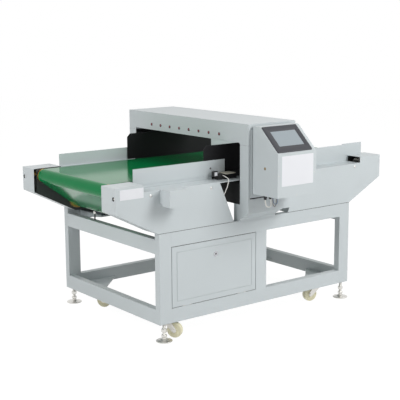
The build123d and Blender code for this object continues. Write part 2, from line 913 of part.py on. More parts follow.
def flange_bearing(x, z):
    """A two-bolt bearing on the outside of a side plate."""
    y0, y1 = side_plate_outer, side_plate_outer + bearing_flange_thickness
    ears = [Pos(side * bearing_ear_spacing, 0) * Circle(bearing_ear_radius) for side in (-1, 1)]
    middle = Circle(bearing_boss_radius)
    outline = make_hull((middle + ears[0] + ears[1]).edges())
    for side in (-1, 1):
        outline -= Pos(side * bearing_ear_spacing, 0) * Circle(bearing_bolt_radius)
    body = Pos(x, y1, z) * extrude(Plane.XZ * outline, amount=bearing_flange_thickness)
    body += rod_y(x, z, bearing_boss_radius, y1, y0 + bearing_boss_thickness)
    return body - rod_y(x, z, shaft_radius + shaft_clearance, y0 - cut_margin, y1 + bearing_boss_thickness)


def flange_bearings():
    """Bearings of the drum, the deflecting rollers and the outfeed pulley, on both sides."""
    places = [
        (drum_x, drum_height),
        (snub_x, deflector_height),
        (return_x, deflector_height),
        (pulley_x, pulley_height),
    ]
    return [bearing for place in places for bearing in across(flange_bearing(*place))]


# Take-up


def take_up_carriage():
    """A sliding block that holds one end of the infeed pulley's shaft, with its screw."""
    y1 = carriage_outer_face
    y0 = y1 - carriage_width
    half = carriage_length / 2
    z0, z1 = pulley_height - carriage_height / 2, pulley_height + carriage_height / 2
    body = block(-pulley_x - half, -pulley_x + half, y0, y1, z0, z1)
    bore = shaft_radius + shaft_clearance
    body -= rod_y(-pulley_x, pulley_height, bore, y0 - cut_margin, y1 + cut_margin)
    screw_start = -half_length + take_up_screw_end_inset
    screw = rod_x(cap_hole_y, cap_hole_height, take_up_screw_radius, screw_start, -pulley_x - half)
    return body + screw


def take_up_guide():
    """The fixed bars that a carriage slides between, joined by an end plate with the screw's hole."""
    y0, y1 = carriage_outer_face - carriage_width, half_width - sheet
    half = carriage_length / 2
    x0 = -pulley_x - half - guide_end_thickness - running_gap
    x1 = -pulley_x + half + take_up_travel
    z1 = pulley_height + carriage_height / 2 + running_gap
    z0 = pulley_height - carriage_height / 2 - running_gap
    guide = block(x0, x1, y0, y1, z1, z1 + guide_bar_height)
    guide += block(x0, x1, y0, y1, z0 - guide_bar_height, z0)
    guide += block(x0, x0 + guide_end_thickness, y0, y1, z0, z1)
    hole = take_up_screw_radius + take_up_screw_clearance
    hole_end = x0 + guide_end_thickness + cut_margin
    return guide - rod_x(cap_hole_y, cap_hole_height, hole, x0 - cut_margin, hole_end)


# Drive


def gearbox():
    """The gearbox with its feet, a closed housing with the output shaft's bore in its outer face."""
    half = gearbox_half_size
    y0, y1 = gearbox_inner_face, gearbox_outer_face
    body = block(motor_x - half, motor_x + half, y0, y1, motor_height - half, motor_height + half)
    body = fillet(body.edges().filter_by(Axis.Y), gearbox_corner_radius)
    for side in (-1, 1):
        x = motor_x + side * (half - motor_foot_width / 2)
        x0, x1 = x - motor_foot_width / 2, x + motor_foot_width / 2
        body += block(x0, x1, y0, y1, motor_shelf_top, motor_height - half + gearbox_corner_radius)
    bore = shaft_radius + shaft_clearance
    return body - rod_y(motor_x, motor_height, bore, y1 - output_shaft_depth, y1 + cut_margin)


def drive_motor():
    """The motor on the gearbox's inner face, with its fan cowl and terminal box."""
    y1 = gearbox_inner_face
    y0 = y1 - motor_length
    body = rod_y(motor_x, motor_height, motor_radius, y0, y1)
    body += rod_y(motor_x, motor_height, motor_cowl_radius, y0, y0 + motor_cowl_length)
    half = terminal_box_size / 2
    top = motor_height + motor_radius + terminal_box_height
    middle = (y0 + y1) / 2
    return body + block(motor_x - half, motor_x + half, middle - half, middle + half, motor_height, top)


def motor_shelf():
    """The shelf under the gearbox, on the rear rail's inner face, with a rib along each of its sides."""
    reach = gearbox_half_size + motor_shelf_overhang
    y0, y1 = gearbox_inner_face - motor_shelf_overhang, rail_inner_y
    shelf = block(motor_x - reach, motor_x + reach, y0, y1, motor_shelf_low, motor_shelf_top)
    outline = [(y0, motor_shelf_low), (y1, motor_shelf_low), (y1, motor_shelf_low - motor_shelf_rib_height)]
    rib = motor_shelf_rib_thickness
    return shelf + plate_yz(outline, motor_x - reach, motor_x - reach + rib) + plate_yz(
        outline, motor_x + reach - rib, motor_x + reach
    )


def motor_sheave():
    """The small sheave on the gearbox's output shaft."""
    y0 = gearbox_outer_face - output_shaft_depth + running_gap
    y1 = sheave_inner_face + sheave_width
    shaft = rod_y(motor_x, motor_height, shaft_radius, y0, y1)
    return [shaft, sheave(motor_x, motor_height, motor_sheave_radius, shaft_radius)]


def drive_belt():
    """The belt between the two sheaves, in their grooves."""
    wheels = []
    rest = running_gap - groove_depth
    wheels.append((drum_x, drum_height, drum_sheave_radius + rest, -1))
    wheels.append((motor_x, motor_height, motor_sheave_radius + rest, -1))
    middle = sheave_inner_face + sheave_width / 2
    half = groove_base_width / 2 - running_gap
    return band(wheels, drive_belt_thickness, middle - half, middle + half)


# Encoder housing


def encoder_housing():
    """A box on a shorter neck, with the bore that the snub roller's shaft turns in."""
    y0 = -half_width
    y1 = y0 - encoder_neck_depth
    y2 = y1 - encoder_box_depth
    half_neck, neck_height = encoder_neck_width / 2, encoder_neck_height / 2
    half_box, box_height = encoder_box_width / 2, encoder_box_height / 2
    z = deflector_height
    neck = block(snub_x - half_neck, snub_x + half_neck, y1, y0, z - neck_height, z + neck_height)
    box = block(snub_x - half_box, snub_x + half_box, y2, y1, z - box_height, z + box_height)
    box = fillet(box.edges().filter_by(Axis.Y), encoder_box_round)
    bore_end = y1 - encoder_shaft_in_box - cut_margin
    return neck + box - rod_y(snub_x, z, encoder_bore_radius, bore_end, y0 + cut_margin)


# Detection head


def head_upper_housing():
    """The top of the head, with the rounded upper corners of the tunnel."""
    low = tunnel_top - tunnel_corner_radius
    body = block(-half_head, half_head, -half_head_width, half_head_width, low, head_top)
    reach = half_head + cut_margin
    void = block(-reach, reach, -half_tunnel, half_tunnel, tunnel_floor, tunnel_top)
    top_edges = void.edges().filter_by(Axis.X).group_by(Axis.Z)[-1]
    return body - fillet(top_edges, tunnel_corner_radius)


def head_column():
    """One side of the head beside the tunnel."""
    top = tunnel_top - tunnel_corner_radius
    return block(-half_head, half_head, half_tunnel, half_head_width, tunnel_floor, top)


def head_lower_housing():
    """The head's lower part, below the belt's bed, with the front panel's skirt."""
    body = block(-half_head, half_head, -half_head_width, half_head_width, head_base, tunnel_floor)
    skirt_y = half_head_width - head_panel_thickness
    for skirt in across(block(pedestal_end, half_head, skirt_y, half_head_width, head_panel_low, head_base)):
        body += skirt
    return body


def head_pedestals():
    """The blocks that carry the head on the frame's long rails, with a sloping face below the panel."""
    outline = [
        (half_head_width, head_panel_low),
        (half_head_width, head_base),
        (pedestal_inner, head_base),
        (pedestal_inner, frame_top),
        (pedestal_outer, frame_top),
        (pedestal_outer, pedestal_step_height),
    ]
    return across(plate_yz(outline, -half_head, pedestal_end))


def indicator_lamps():
    """A row of small lamps on the head's infeed face."""
    pitch = lamp_span / (lamp_count - 1)
    start = lamp_row_middle - lamp_span / 2
    places = [start + pitch * step for step in range(lamp_count)]
    return [rod_x(y, lamp_height, lamp_radius, -half_head - lamp_depth, -half_head) for y in places]


# Control box


def control_profile(front):
    """The control box's side outline in Y and Z."""
    slope_top = control_rear + control_top_depth
    return [
        (-control_rear, control_base),
        (-control_rear, control_top),
        (-slope_top, control_top),
        (-front, control_slope_low),
        (-front, control_base),
    ]


def control_box():
    """The control box's folded housing. The cover closes its front."""
    profile = control_profile(control_front - sheet)
    housing = plate_yz(profile, control_start, control_end)
    edge = Polyline(*[(control_start + sheet, y, z) for y, z in profile], close=True)
    depth = control_end - control_start - 2 * sheet
    room = extrude(offset(make_face(edge), -sheet), amount=depth, dir=(1, 0, 0))
    rear = -control_front + sheet
    front = block(
        control_start + sheet,
        control_end - sheet,
        rear,
        rear + 2 * sheet,
        control_base + sheet,
        control_slope_low - sheet,
    )
    return housing - room - front


def control_box_cover():
    """The plate screwed on the control box's front."""
    return block(
        control_start, control_end, -control_front, -control_front + sheet, control_base, control_slope_low
    )


def control_box_bracket():
    """The bracket between the head and the control box: a plate with a spacer on each face."""
    x0, x1 = control_start + bracket_inset, control_end - bracket_inset
    spacers = block(x0, x1, -control_rear, -half_head_width, bracket_low, bracket_high)
    x0, x1 = control_start - bracket_plate_beyond, control_end + bracket_plate_beyond
    y0 = -half_head_width - (bracket_depth + bracket_plate_thickness) / 2
    y1 = y0 + bracket_plate_thickness
    return spacers + block(x0, x1, y0, y1, control_base - bracket_plate_below, bracket_high)


def slope_frame():
    """A plane on the control box's sloping face, X along the head and Y up the slope."""
    run = control_front - sheet - control_rear - control_top_depth
    rise = control_top - control_slope_low
    middle_z = (control_top + control_slope_low) / 2
    y = -(control_front - sheet) + run / 2
    return Plane(origin=(bezel_middle, y, middle_z), x_dir=(1, 0, 0), z_dir=(0, -rise, run))


def touch_panel_bezel():
    """The touch panel's frame on the slope, with the recess of its screen."""
    face = RectangleRounded(bezel_width, bezel_height, bezel_round)
    body = extrude(slope_frame() * face, amount=bezel_thickness)
    recess_floor = slope_frame().offset(bezel_thickness - screen_thickness)
    recess = recess_floor * Rectangle(screen_width, screen_height)
    return body - extrude(recess, amount=screen_thickness + cut_margin)


def touch_screen():
    """The screen, flush in the bezel."""
    face = slope_frame().offset(bezel_thickness - screen_thickness) * Rectangle(screen_width, screen_height)
    return extrude(face, amount=screen_thickness)


def cable_glands():
    """Two glands under the control box."""
    glands = []
    for x in (gland_left, gland_right):
        low = control_base - gland_height
        gland = rod_z(x, gland_y, gland_radius, low, control_base)
        glands.append(gland + rod_z(x, gland_y, gland_tip_radius, low - gland_tip_height, low))
    return glands


def control_cable():
    """The cable that loops from one gland to the other."""
    top = control_base - gland_height - gland_tip_height
    low = top - control_cable_drop
    path = Line((gland_left, gland_y, top), (gland_left, gland_y, low))
    middle = ((gland_left + gland_right) / 2, gland_y, low - gland_spacing / 2)
    path += ThreePointArc((gland_left, gland_y, low), middle, (gland_right, gland_y, low))
    path += Line((gland_right, gland_y, low), (gland_right, gland_y, top))
    start = Plane(origin=(gland_left, gland_y, top), z_dir=(0, 0, -1))
    return sweep(start * Circle(control_cable_radius), path=path)


# Product sensor


def sensor_bracket():
    """The square cap over the sensor, on a foot that stands on the bed rail's flange."""
    body_low = bed_rail_top + sensor_gap_under
    cap_low = body_low + sensor_body_height
    x0, x1 = sensor_cap_start, sensor_cap_start + sensor_cap_size
    y0, y1 = -sensor_cap_inner - sensor_cap_size, -sensor_cap_inner
    cap = block(x0, x1, y0, y1, cap_low, cap_low + sensor_cap_thickness)
    foot_y = -sensor_outer - running_gap
    cap += block(x0, x1, foot_y - sensor_cap_thickness, foot_y, bed_rail_top, cap_low)
    return cap


def belt_sensor():
    """The photoelectric sensor's body."""
    low = bed_rail_top + sensor_gap_under
    x0, x1 = sensor_start, sensor_start + sensor_length
    body = block(x0, x1, -sensor_outer, -sensor_inner, low, low + sensor_body_height)
    pad = block(x0, x0 + sensor_width, -sensor_outer, -sensor_inner, bed_rail_top, low)
    return body + pad + Pos(sensor_length - sensor_width, 0, 0) * pad


def sensor_cable():
    """The sensor's cable, over the flange's edge and down to the wall of the cover's slanted end."""
    start_z = bed_rail_top + sensor_gap_under + sensor_cable_height
    edge_y, edge_z = -half_width - sensor_cable_overhang, start_z - sensor_cable_sag
    lean = (cover_gap_high - cover_gap_low) / cover_fold_above_frame
    end_x = -cover_gap_high + lean * sensor_cable_end_drop - 2 * sensor_cable_radius
    end_y = -half_width + sensor_cable_end_inset
    points = [
        (sensor_start + sensor_cable_offset, -sensor_outer, start_z),
        (sensor_start + sensor_cable_edge_offset, edge_y, edge_z),
        (sensor_start + sensor_cable_lower_offset, edge_y, edge_z - sensor_cable_drop),
        (end_x, end_y, fold_height - sensor_cable_end_drop),
    ]
    path = FilletPolyline(*points, radius=sensor_cable_bend)
    start = Plane(origin=points[0], z_dir=path % 0)
    cable = sweep(start * Circle(sensor_cable_radius), path=path)
    wall = Plane(origin=(-cover_gap_high, 0, fold_height), z_dir=(1, 0, lean))
    body = Plane(origin=(0, -sensor_outer, 0), z_dir=(0, -1, 0))
    return split(split(cable, bisect_by=wall, keep=Keep.TOP), bisect_by=body, keep=Keep.TOP)


# Cabinet


def cabinet():
    """The open-fronted electrical cabinet in the frame's front left bay, with the lock's keeper."""
    x0, x1 = -leg_inner_x, -tube_width / 2
    y0, wall = -half_width + cabinet_front_inset, cabinet_wall
    body = block(x0, x1, y0, cabinet_back, bay_low, bay_top)
    body -= block(x0 + wall, x1 - wall, y0 - cut_margin, cabinet_back - wall, bay_low + wall, bay_top - wall)
    cam_front = -half_width + door_sheet + lock_barrel_length
    keeper_y = cam_front - running_gap - keeper_thickness
    keeper_x = lock_x - keeper_width / 2
    keeper_end = keeper_y + keeper_thickness
    low = bay_top - keeper_length
    return body + block(keeper_x, keeper_x + keeper_width, keeper_y, keeper_end, low, bay_top - wall)


def device_row(devices, z, plate_face):
    """Devices on a rail at one height, with a gap between each and the next. Each clips over the rail."""
    start = -leg_inner_x + back_plate_inset + duct_height
    rail_end = -tube_width / 2 - back_plate_inset - duct_height
    rail_face = plate_face - din_rail_depth
    low, high = z - din_rail_height / 2, z + din_rail_height / 2
    row = [block(start, rail_end, rail_face, plate_face, low, high)]
    for width, height, depth in devices:
        x0 = start + device_gap
        row.append(block(x0, x0 + width, rail_face - depth, rail_face, z - height / 2, z + height / 2))
        start = x0 + width
    return row


def cabinet_components():
    """The back plate with cable ducts and two rows of devices."""
    x0, x1 = -leg_inner_x + back_plate_inset, -tube_width / 2 - back_plate_inset
    z0, z1 = bay_low + back_plate_inset, bay_top - back_plate_inset
    rear = cabinet_back - cabinet_wall
    face = rear - back_plate_thickness
    plate = block(x0, x1, face, rear, z0, z1)
    middle = (z0 + z1) / 2
    half_duct = duct_height / 2
    ducts = [block(x0, x1, face - duct_depth, face, middle - half_duct, middle + half_duct)]
    ducts.append(block(x0, x1, face - duct_depth, face, z1 - duct_height, z1))
    ducts.append(block(x0, x1, face - duct_depth, face, z0, z0 + duct_height))
    row_offset = (z1 - z0) * device_row_share
    upper = device_row(upper_devices, middle + row_offset, face)
    lower = device_row(lower_devices, middle - row_offset, face)
    return [plate, *ducts, *upper, *lower]


def hinge_axis():
    """The Y and Z of the door's hinge."""
    return -half_width + hinge_axis_behind_face, bay_low + hinge_axis_above_rail


def hinge_middles():
    """The X of each hinge's middle."""
    x0, x1 = -leg_inner_x + hinge_end_inset, -tube_width / 2 - hinge_end_inset
    return x0, x1


def door_hinges():
    """Hinge pins with the knuckles that are fixed to the cabinet's lower front edge."""
    y, z = hinge_axis()
    length = hinge_leaf_length / 2 + hinge_knuckle_length + running_gap
    hinges = []
    for x in hinge_middles():
        hinge = rod_x(y, z, hinge_pin_radius, x - length, x + length)
        for side in (-1, 1):
            x0, x1 = sorted((x + side * length, x + side * (length - hinge_knuckle_length)))
            hinge += rod_x(y, z, hinge_knuckle_radius, x0, x1)
            hinge += block(x0, x1, y, -half_width + cabinet_front_inset, bay_low, bay_low + cabinet_wall)
        hinges.append(hinge)
    return hinges


def cabinet_door():
    """The door: a folded tray with an embossed rib round its panel, its knuckles and the lock's hole."""
    x0, x1 = -leg_inner_x + door_gap, -tube_width / 2 - door_gap
    z0, z1 = bay_low + door_gap, bay_top - door_gap
    y0, y1 = -half_width, -half_width + door_sheet + door_flange
    wall = door_sheet
    door = block(x0, x1, y0, y1, z0, z1)
    door -= block(x0 + wall, x1 - wall, y0 + wall, y1 + cut_margin, z0 + wall, z1 - wall)
    inset = door_panel_inset
    rib = door_panel_rib_width
    groove = block(x0 + inset, x1 - inset, y0, y0 + door_panel_depth, z0 + inset, z1 - inset)
    inset += rib
    groove -= block(x0 + inset, x1 - inset, y0 - cut_margin, y0 + door_sheet, z0 + inset, z1 - inset)
    door -= groove
    y, z = hinge_axis()
    half = hinge_leaf_length / 2
    reach = half + hinge_knuckle_length + 2 * running_gap
    clear = hinge_knuckle_radius + running_gap
    for x in hinge_middles():
        door -= rod_x(y, z, clear, x - reach, x + reach)
        knuckle = rod_x(y, z, hinge_knuckle_radius, x - half, x + half)
        knuckle += block(x - half, x + half, y0, y, z, z + clear)
        door += knuckle
        door -= rod_x(y, z, hinge_pin_radius + shaft_clearance, x - reach, x + reach)
    return door - rod_y(lock_x, lock_height, lock_barrel_radius, y0 - cut_margin, y1 + cut_margin)


def cam_lock_body():
    """The lock's fixed head and barrel in the door."""
    y0 = -half_width - lock_head_depth
    y1 = -half_width + door_sheet + lock_barrel_length - running_gap
    body = rod_y(lock_x, lock_height, lock_head_radius, y0, -half_width)
    body += rod_y(lock_x, lock_height, lock_barrel_radius, -half_width, y1)
    bore = lock_plug_radius + shaft_clearance
    return body - rod_y(lock_x, lock_height, bore, y0 - cut_margin, y1 + cut_margin)


def cam_lock_plug():
    """The turning plug with the key slot and the cam behind the door."""
    y0 = -half_width - lock_head_depth
    y1 = -half_width + door_sheet + lock_barrel_length
    plug = rod_y(lock_x, lock_height, lock_plug_radius, y0, y1 + cam_thickness)
    half = cam_width / 2
    low, high = lock_height - half, lock_height + half
    plug += block(lock_x - half, lock_x + cam_length, y1, y1 + cam_thickness, low, high)
    slot = lock_slot_width / 2
    low, high = lock_height - lock_plug_radius, lock_height + lock_plug_radius
    return plug - block(lock_x - slot, lock_x + slot, y0, -half_width, low, high)


def write_nodes():
    """Builds every node and writes it."""
    os.makedirs("parts", exist_ok=True)
    save("frame_legs", *frame_legs())
    save("frame_rails", *frame_long_rails(), *frame_end_rails(), *frame_posts())
    save("frame_plates", *leg_foot_inserts(), *corner_plates())
    save("motor_mount", motor_shelf())
    save("support_stud", support_stud())
    foot_x, foot_y = half_frame - tube_width / 2, half_width - tube_depth / 2
    for corner in caster_insets:
        x = -foot_x if corner.endswith("left") else foot_x
        y = -foot_y if corner.startswith("front") else foot_y
        save(f"foot_{corner}", *foot(x, y))
        save(f"caster_fork_{corner}", *caster_fork(corner))
        save(f"caster_wheel_{corner}", caster_wheel(corner))
    save("caster_stems", *[caster_stem(corner) for corner in caster_insets])
    save("infeed_covers", cover(front=True, infeed=True), cover(front=False, infeed=True))
    save("outfeed_covers", cover(front=True, infeed=False), cover(front=False, infeed=False))
    save("conveyor_side_plates", *across(side_plate(True)), *across(side_plate(False)))
    save("bed_side_rails", *bed_side_rails())
    save("slider_bed", slider_bed(), *bed_ties())
    save("conveyor_belt", conveyor_belt())
    save("side_strips", *side_strips())
    save("side_guards", *infeed_guards(), *outfeed_guards())
    save("tunnel_guide_plates", *tunnel_guide_plates())
    pulley_reach = carriage_outer_face - running_gap
    save("infeed_pulley", pulley(-pulley_x, pulley_reach, pulley_reach))
    save("outfeed_pulley", pulley(pulley_x, shaft_end(), shaft_end()))
    save("snub_roller", snub_roller())
    save("return_roller", roller(return_x, deflector_height, snub_radius, shaft_end(), shaft_end()))
    save("drive_drum", drive_drum(), sheave(drum_x, drum_height, drum_sheave_radius, shaft_radius))
    save("flange_bearings", *flange_bearings())
    save("take_up_carriages", *across(take_up_carriage()))
    save("take_up_guides", *across(take_up_guide()))
    save("gearmotor", gearbox(), drive_motor())
    save("motor_sheave", *motor_sheave())
    save("drive_belt", drive_belt())
    save("encoder_housing", encoder_housing())
    save("head_upper_housing", head_upper_housing())
    save("head_columns", *across(head_column()))
    save("head_lower_housing", head_lower_housing())
    save("head_pedestals", *head_pedestals())
    save("indicator_lamps", *indicator_lamps())
    save("control_box", control_box())
    save("control_box_cover", control_box_cover())
    save("control_box_bracket", control_box_bracket())
    save("touch_panel_bezel", touch_panel_bezel())
    save("touch_screen", touch_screen())
    save("cable_glands", *cable_glands())
    save("control_cable", control_cable())
    save("sensor_bracket", sensor_bracket())
    save("belt_sensor", belt_sensor())
    save("sensor_cable", sensor_cable())
    save("electrical_cabinet", cabinet())
    save("cabinet_components", *cabinet_components())
    save("door_hinges", *door_hinges())
    save("cabinet_door", cabinet_door())
    save("cam_lock_body", cam_lock_body())
    save("cam_lock_plug", cam_lock_plug())


write_nodes()
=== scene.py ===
# %% [markdown]
# # A conveyor metal detector
# The machine carries goods on a green belt through a steel head that senses metal.
# Its frame, rollers and covers come ready made with their real sizes. This lesson gives every surface its
# finish and adds the finer parts: cables, feet, screws, seals, lamps, glands, the touch panel's rim, the
# cabinet's inside and the gearmotor.

import math

import bpy
import numpy as np
from mathutils import Matrix, Vector


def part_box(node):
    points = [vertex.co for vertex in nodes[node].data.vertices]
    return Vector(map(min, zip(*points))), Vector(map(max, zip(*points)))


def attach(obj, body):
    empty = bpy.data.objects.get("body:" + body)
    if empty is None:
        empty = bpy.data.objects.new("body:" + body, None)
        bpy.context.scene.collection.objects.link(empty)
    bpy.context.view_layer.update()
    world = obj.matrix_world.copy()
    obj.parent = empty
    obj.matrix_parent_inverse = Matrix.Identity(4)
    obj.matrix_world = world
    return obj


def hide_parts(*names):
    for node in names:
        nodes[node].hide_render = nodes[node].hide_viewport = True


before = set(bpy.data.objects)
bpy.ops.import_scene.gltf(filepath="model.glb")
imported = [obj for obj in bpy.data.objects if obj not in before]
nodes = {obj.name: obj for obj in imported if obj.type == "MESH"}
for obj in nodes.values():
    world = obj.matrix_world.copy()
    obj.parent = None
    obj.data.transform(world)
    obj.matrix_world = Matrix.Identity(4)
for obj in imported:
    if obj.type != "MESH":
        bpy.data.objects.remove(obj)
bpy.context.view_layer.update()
print("loaded", len(nodes), "nodes")

# %% [markdown]
# ## The camera
# The photograph was taken from the front left, a little above the belt, with a long lens. The camera's place
# and turn were worked out from the frame's edges in the picture, so they are written here as values.

# %% Camera
CAMERA_PLACE = Vector((-3.1430, -3.9006, 1.5076))
CAMERA_HEADING = math.radians(37.738)
CAMERA_TILT = math.radians(10.642)
CAMERA_ROLL = -0.0053875
CAMERA_LENS, SENSOR_WIDTH, VIEW_REACH = 86.81, 36.0, 60.0


def aim_camera():
    """Looks along a heading measured from +Y towards +X, tilted down, then rolled about the view."""
    level = math.cos(CAMERA_TILT)
    north, east = level * math.cos(CAMERA_HEADING), level * math.sin(CAMERA_HEADING)
    ahead = Vector((east, north, -math.sin(CAMERA_TILT)))
    right = Vector((math.cos(CAMERA_HEADING), -math.sin(CAMERA_HEADING), 0))
    up = right.cross(ahead)
    side = right * math.cos(CAMERA_ROLL) + up * math.sin(CAMERA_ROLL)
    top = up * math.cos(CAMERA_ROLL) - right * math.sin(CAMERA_ROLL)
    turn = Matrix((side, top, -ahead)).transposed()
    return Matrix.Translation(CAMERA_PLACE) @ turn.to_4x4()


camera_data = bpy.data.cameras.new("camera")
camera_data.lens = CAMERA_LENS
camera_data.sensor_width = SENSOR_WIDTH
camera_data.clip_end = VIEW_REACH
camera = bpy.data.objects.new("camera", camera_data)
camera.matrix_world = aim_camera()
bpy.context.scene.collection.objects.link(camera)
bpy.context.scene.camera = camera
print("camera at", tuple(round(v, 3) for v in CAMERA_PLACE))

# %% [markdown]
# ## The cords
# Two cream cables show on this machine. One loops from a gland under the control box to the next gland. The
# other leaves the belt sensor, drops over the edge of the flange and goes in at the cover's slanted end.
# A short brown and a short blue wire hang beside the loop. Each is a smooth spline whose control points are
# the corners of its route, so it bends the way a cable does.

# %% Cords
SPLINE_ORDER, SPLINE_STEPS, ROUND_STEPS = 3, 16, 6


def hang_cord(name, points, diameter, replaced=()):
    """A round cord along a smooth spline: a bevel one metre deep times each point's small radius."""
    data = bpy.data.curves.new(name, "CURVE")
    data.dimensions = "3D"
    data.bevel_depth = 1.0
    data.bevel_resolution = ROUND_STEPS
    data.use_fill_caps = True
    spline = data.splines.new("NURBS")
    spline.points.add(len(points) - 1)
    for point, place in zip(spline.points, points):
        point.co = (*place, 1.0)
        point.radius = diameter / 2
    spline.order_u = SPLINE_ORDER
    spline.use_endpoint_u = True
    spline.resolution_u = SPLINE_STEPS
    cord = bpy.data.objects.new(name, data)
    bpy.context.scene.collection.objects.link(cord)
    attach(cord, "base")
    if replaced:
        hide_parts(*replaced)
    return cord


LOOP_POINTS = [
    (-0.104, -0.487, 0.650), (-0.103, -0.488, 0.615), (-0.068, -0.490, 0.611),
    (-0.067, -0.488, 0.634), (-0.072, -0.487, 0.650),
]
LEAD_POINTS = [
    (-0.201, -0.284, 0.754), (-0.209, -0.322, 0.749), (-0.215, -0.348, 0.746),
    (-0.226, -0.348, 0.704), (-0.238, -0.338, 0.670),
]
BROWN_WIRE_POINTS = [
    (-0.058, -0.487, 0.674), (-0.056, -0.487, 0.632), (-0.050, -0.487, 0.610),
    (-0.034, -0.486, 0.610), (-0.030, -0.485, 0.632), (-0.030, -0.485, 0.674),
]
BLUE_WIRE_POINTS = [
    (-0.050, -0.482, 0.674), (-0.049, -0.482, 0.640), (-0.046, -0.484, 0.622),
    (-0.030, -0.490, 0.620), (-0.026, -0.491, 0.640), (-0.026, -0.491, 0.674),
]
LOOP_THICK, LOOP_LENGTH = 0.007, 0.096
LEAD_THICK, LEAD_LENGTH = 0.0044, 0.146
WIRE_THICK, BROWN_LENGTH, BLUE_LENGTH = 0.0026, 0.140, 0.118
loop_cable = hang_cord("loop_cable", LOOP_POINTS, LOOP_THICK, replaced=["control_cable"])
sensor_lead = hang_cord("sensor_lead", LEAD_POINTS, LEAD_THICK, replaced=["sensor_cable"])
brown_wire = hang_cord("brown_wire", BROWN_WIRE_POINTS, WIRE_THICK)
blue_wire = hang_cord("blue_wire", BLUE_WIRE_POINTS, WIRE_THICK)
print("cords", loop_cable.name, sensor_lead.name, brown_wire.name, blue_wire.name)

# %% [markdown]
# ## Light and floor
# A studio picture on white: an even sky, one large soft lamp high at the front right, a weaker one at the
# left and one behind for the rear faces. The sky and the floor look white to the camera and in reflections,
# and stay weaker as light, so the paint keeps its own grey. The floor keeps a faint shadow of the machine.

# %% Light and floor
SKY_LEVEL = 0.30
LAMPS = [
    ("key", Vector((1.5, -3.8, 3.4)), 150.0, True),
    ("fill", Vector((-4.2, -0.6, 2.6)), 76.0, True),
    ("back", Vector((-0.6, 4.6, 2.2)), 60.0, False),
]
LAMP_TARGET, LAMP_SIZE = Vector((0, 0, 0.6)), 2.4


def add(tree, kind, **values):
    """A new shader node. Each value goes to the input of its name, a space for each underscore."""
    node = tree.nodes.new("ShaderNode" + kind)
    for name, value in values.items():
        node.inputs[name.replace("_", " ")].default_value = value
    return node


def seen_rays(tree):
    """1 for the camera's rays and for those of mirrors and glass, 0 for the rays that carry light."""
    path = add(tree, "LightPath")
    seen = path.outputs["Is Camera Ray"]
    for kind in ("Is Glossy Ray", "Is Transmission Ray"):
        larger = add(tree, "Math")
        larger.operation = "MAXIMUM"
        tree.links.new(seen, larger.inputs[0])
        tree.links.new(path.outputs[kind], larger.inputs[1])
        seen = larger.outputs[0]
    return seen


def new_world():
    """An even sky that the camera and reflections see as white."""
    world = bpy.data.worlds.new("sky")
    world.use_nodes = True
    tree = world.node_tree
    tree.nodes.clear()
    level = add(tree, "MapRange", To_Min=SKY_LEVEL, To_Max=1.0)
    tree.links.new(seen_rays(tree), level.inputs["Value"])
    sky = add(tree, "Background", Color=(1, 1, 1, 1))
    tree.links.new(level.outputs["Result"], sky.inputs["Strength"])
    tree.links.new(sky.outputs[0], add(tree, "OutputWorld").inputs["Surface"])
    bpy.context.scene.world = world


def soft_lamp(name, place, power, mirrored):
    """A square lamp that faces the machine's middle. Gloss shows it only where mirrored is true."""
    data = bpy.data.lights.new(name, "AREA")
    data.size = LAMP_SIZE
    data.energy = power
    lamp = bpy.data.objects.new(name, data)
    turn = (LAMP_TARGET - place).to_track_quat("-Z", "Y").to_matrix().to_4x4()
    lamp.matrix_world = Matrix.Translation(place) @ turn
    lamp.visible_glossy = mirrored
    bpy.context.scene.collection.objects.link(lamp)


FLOOR_REACH, FLOOR_DROP, FLOOR_CORNERS = 14.0, 0.0005, 96
FLOOR_PAINT, FLOOR_GLOW, FLOOR_WHITE_SHARE = 0.80, 1.14, 0.84


def floor_finish():
    """Mostly plain white to the camera, with a part that takes light and shadow."""
    material = bpy.data.materials.new("studio_floor")
    material.use_nodes = True
    tree = material.node_tree
    tree.nodes.clear()
    paint = add(tree, "BsdfDiffuse", Color=(FLOOR_PAINT, FLOOR_PAINT, FLOOR_PAINT, 1))
    glow = add(tree, "Emission", Color=(1, 1, 1, 1), Strength=FLOOR_GLOW)
    share = add(tree, "Math")
    share.operation = "MULTIPLY"
    tree.links.new(seen_rays(tree), share.inputs[0])
    share.inputs[1].default_value = FLOOR_WHITE_SHARE
    mix = add(tree, "MixShader")
    for index, node in enumerate((share, paint, glow)):
        tree.links.new(node.outputs[0], mix.inputs[index])
    tree.links.new(mix.outputs[0], add(tree, "OutputMaterial").inputs["Surface"])
    return material


def lay_floor():
    """A round floor just under the feet: radius times the cosine and sine of the angle."""
    angle = np.linspace(0, 2 * np.pi, FLOOR_CORNERS, endpoint=False)
    level = np.full_like(angle, -FLOOR_DROP)
    rim = np.stack([FLOOR_REACH * np.cos(angle), FLOOR_REACH * np.sin(angle), level], 1)
    mesh = bpy.data.meshes.new("floor")
    mesh.from_pydata(rim.tolist(), [], [list(range(len(rim)))])
    floor = bpy.data.objects.new("floor", mesh)
    mesh.materials.append(floor_finish())
    bpy.context.scene.collection.objects.link(floor)


new_world()
for lamp_row in LAMPS:
    soft_lamp(*lamp_row)
lay_floor()
bpy.context.scene.view_settings.view_transform = "Standard"
print("sky level", SKY_LEVEL)
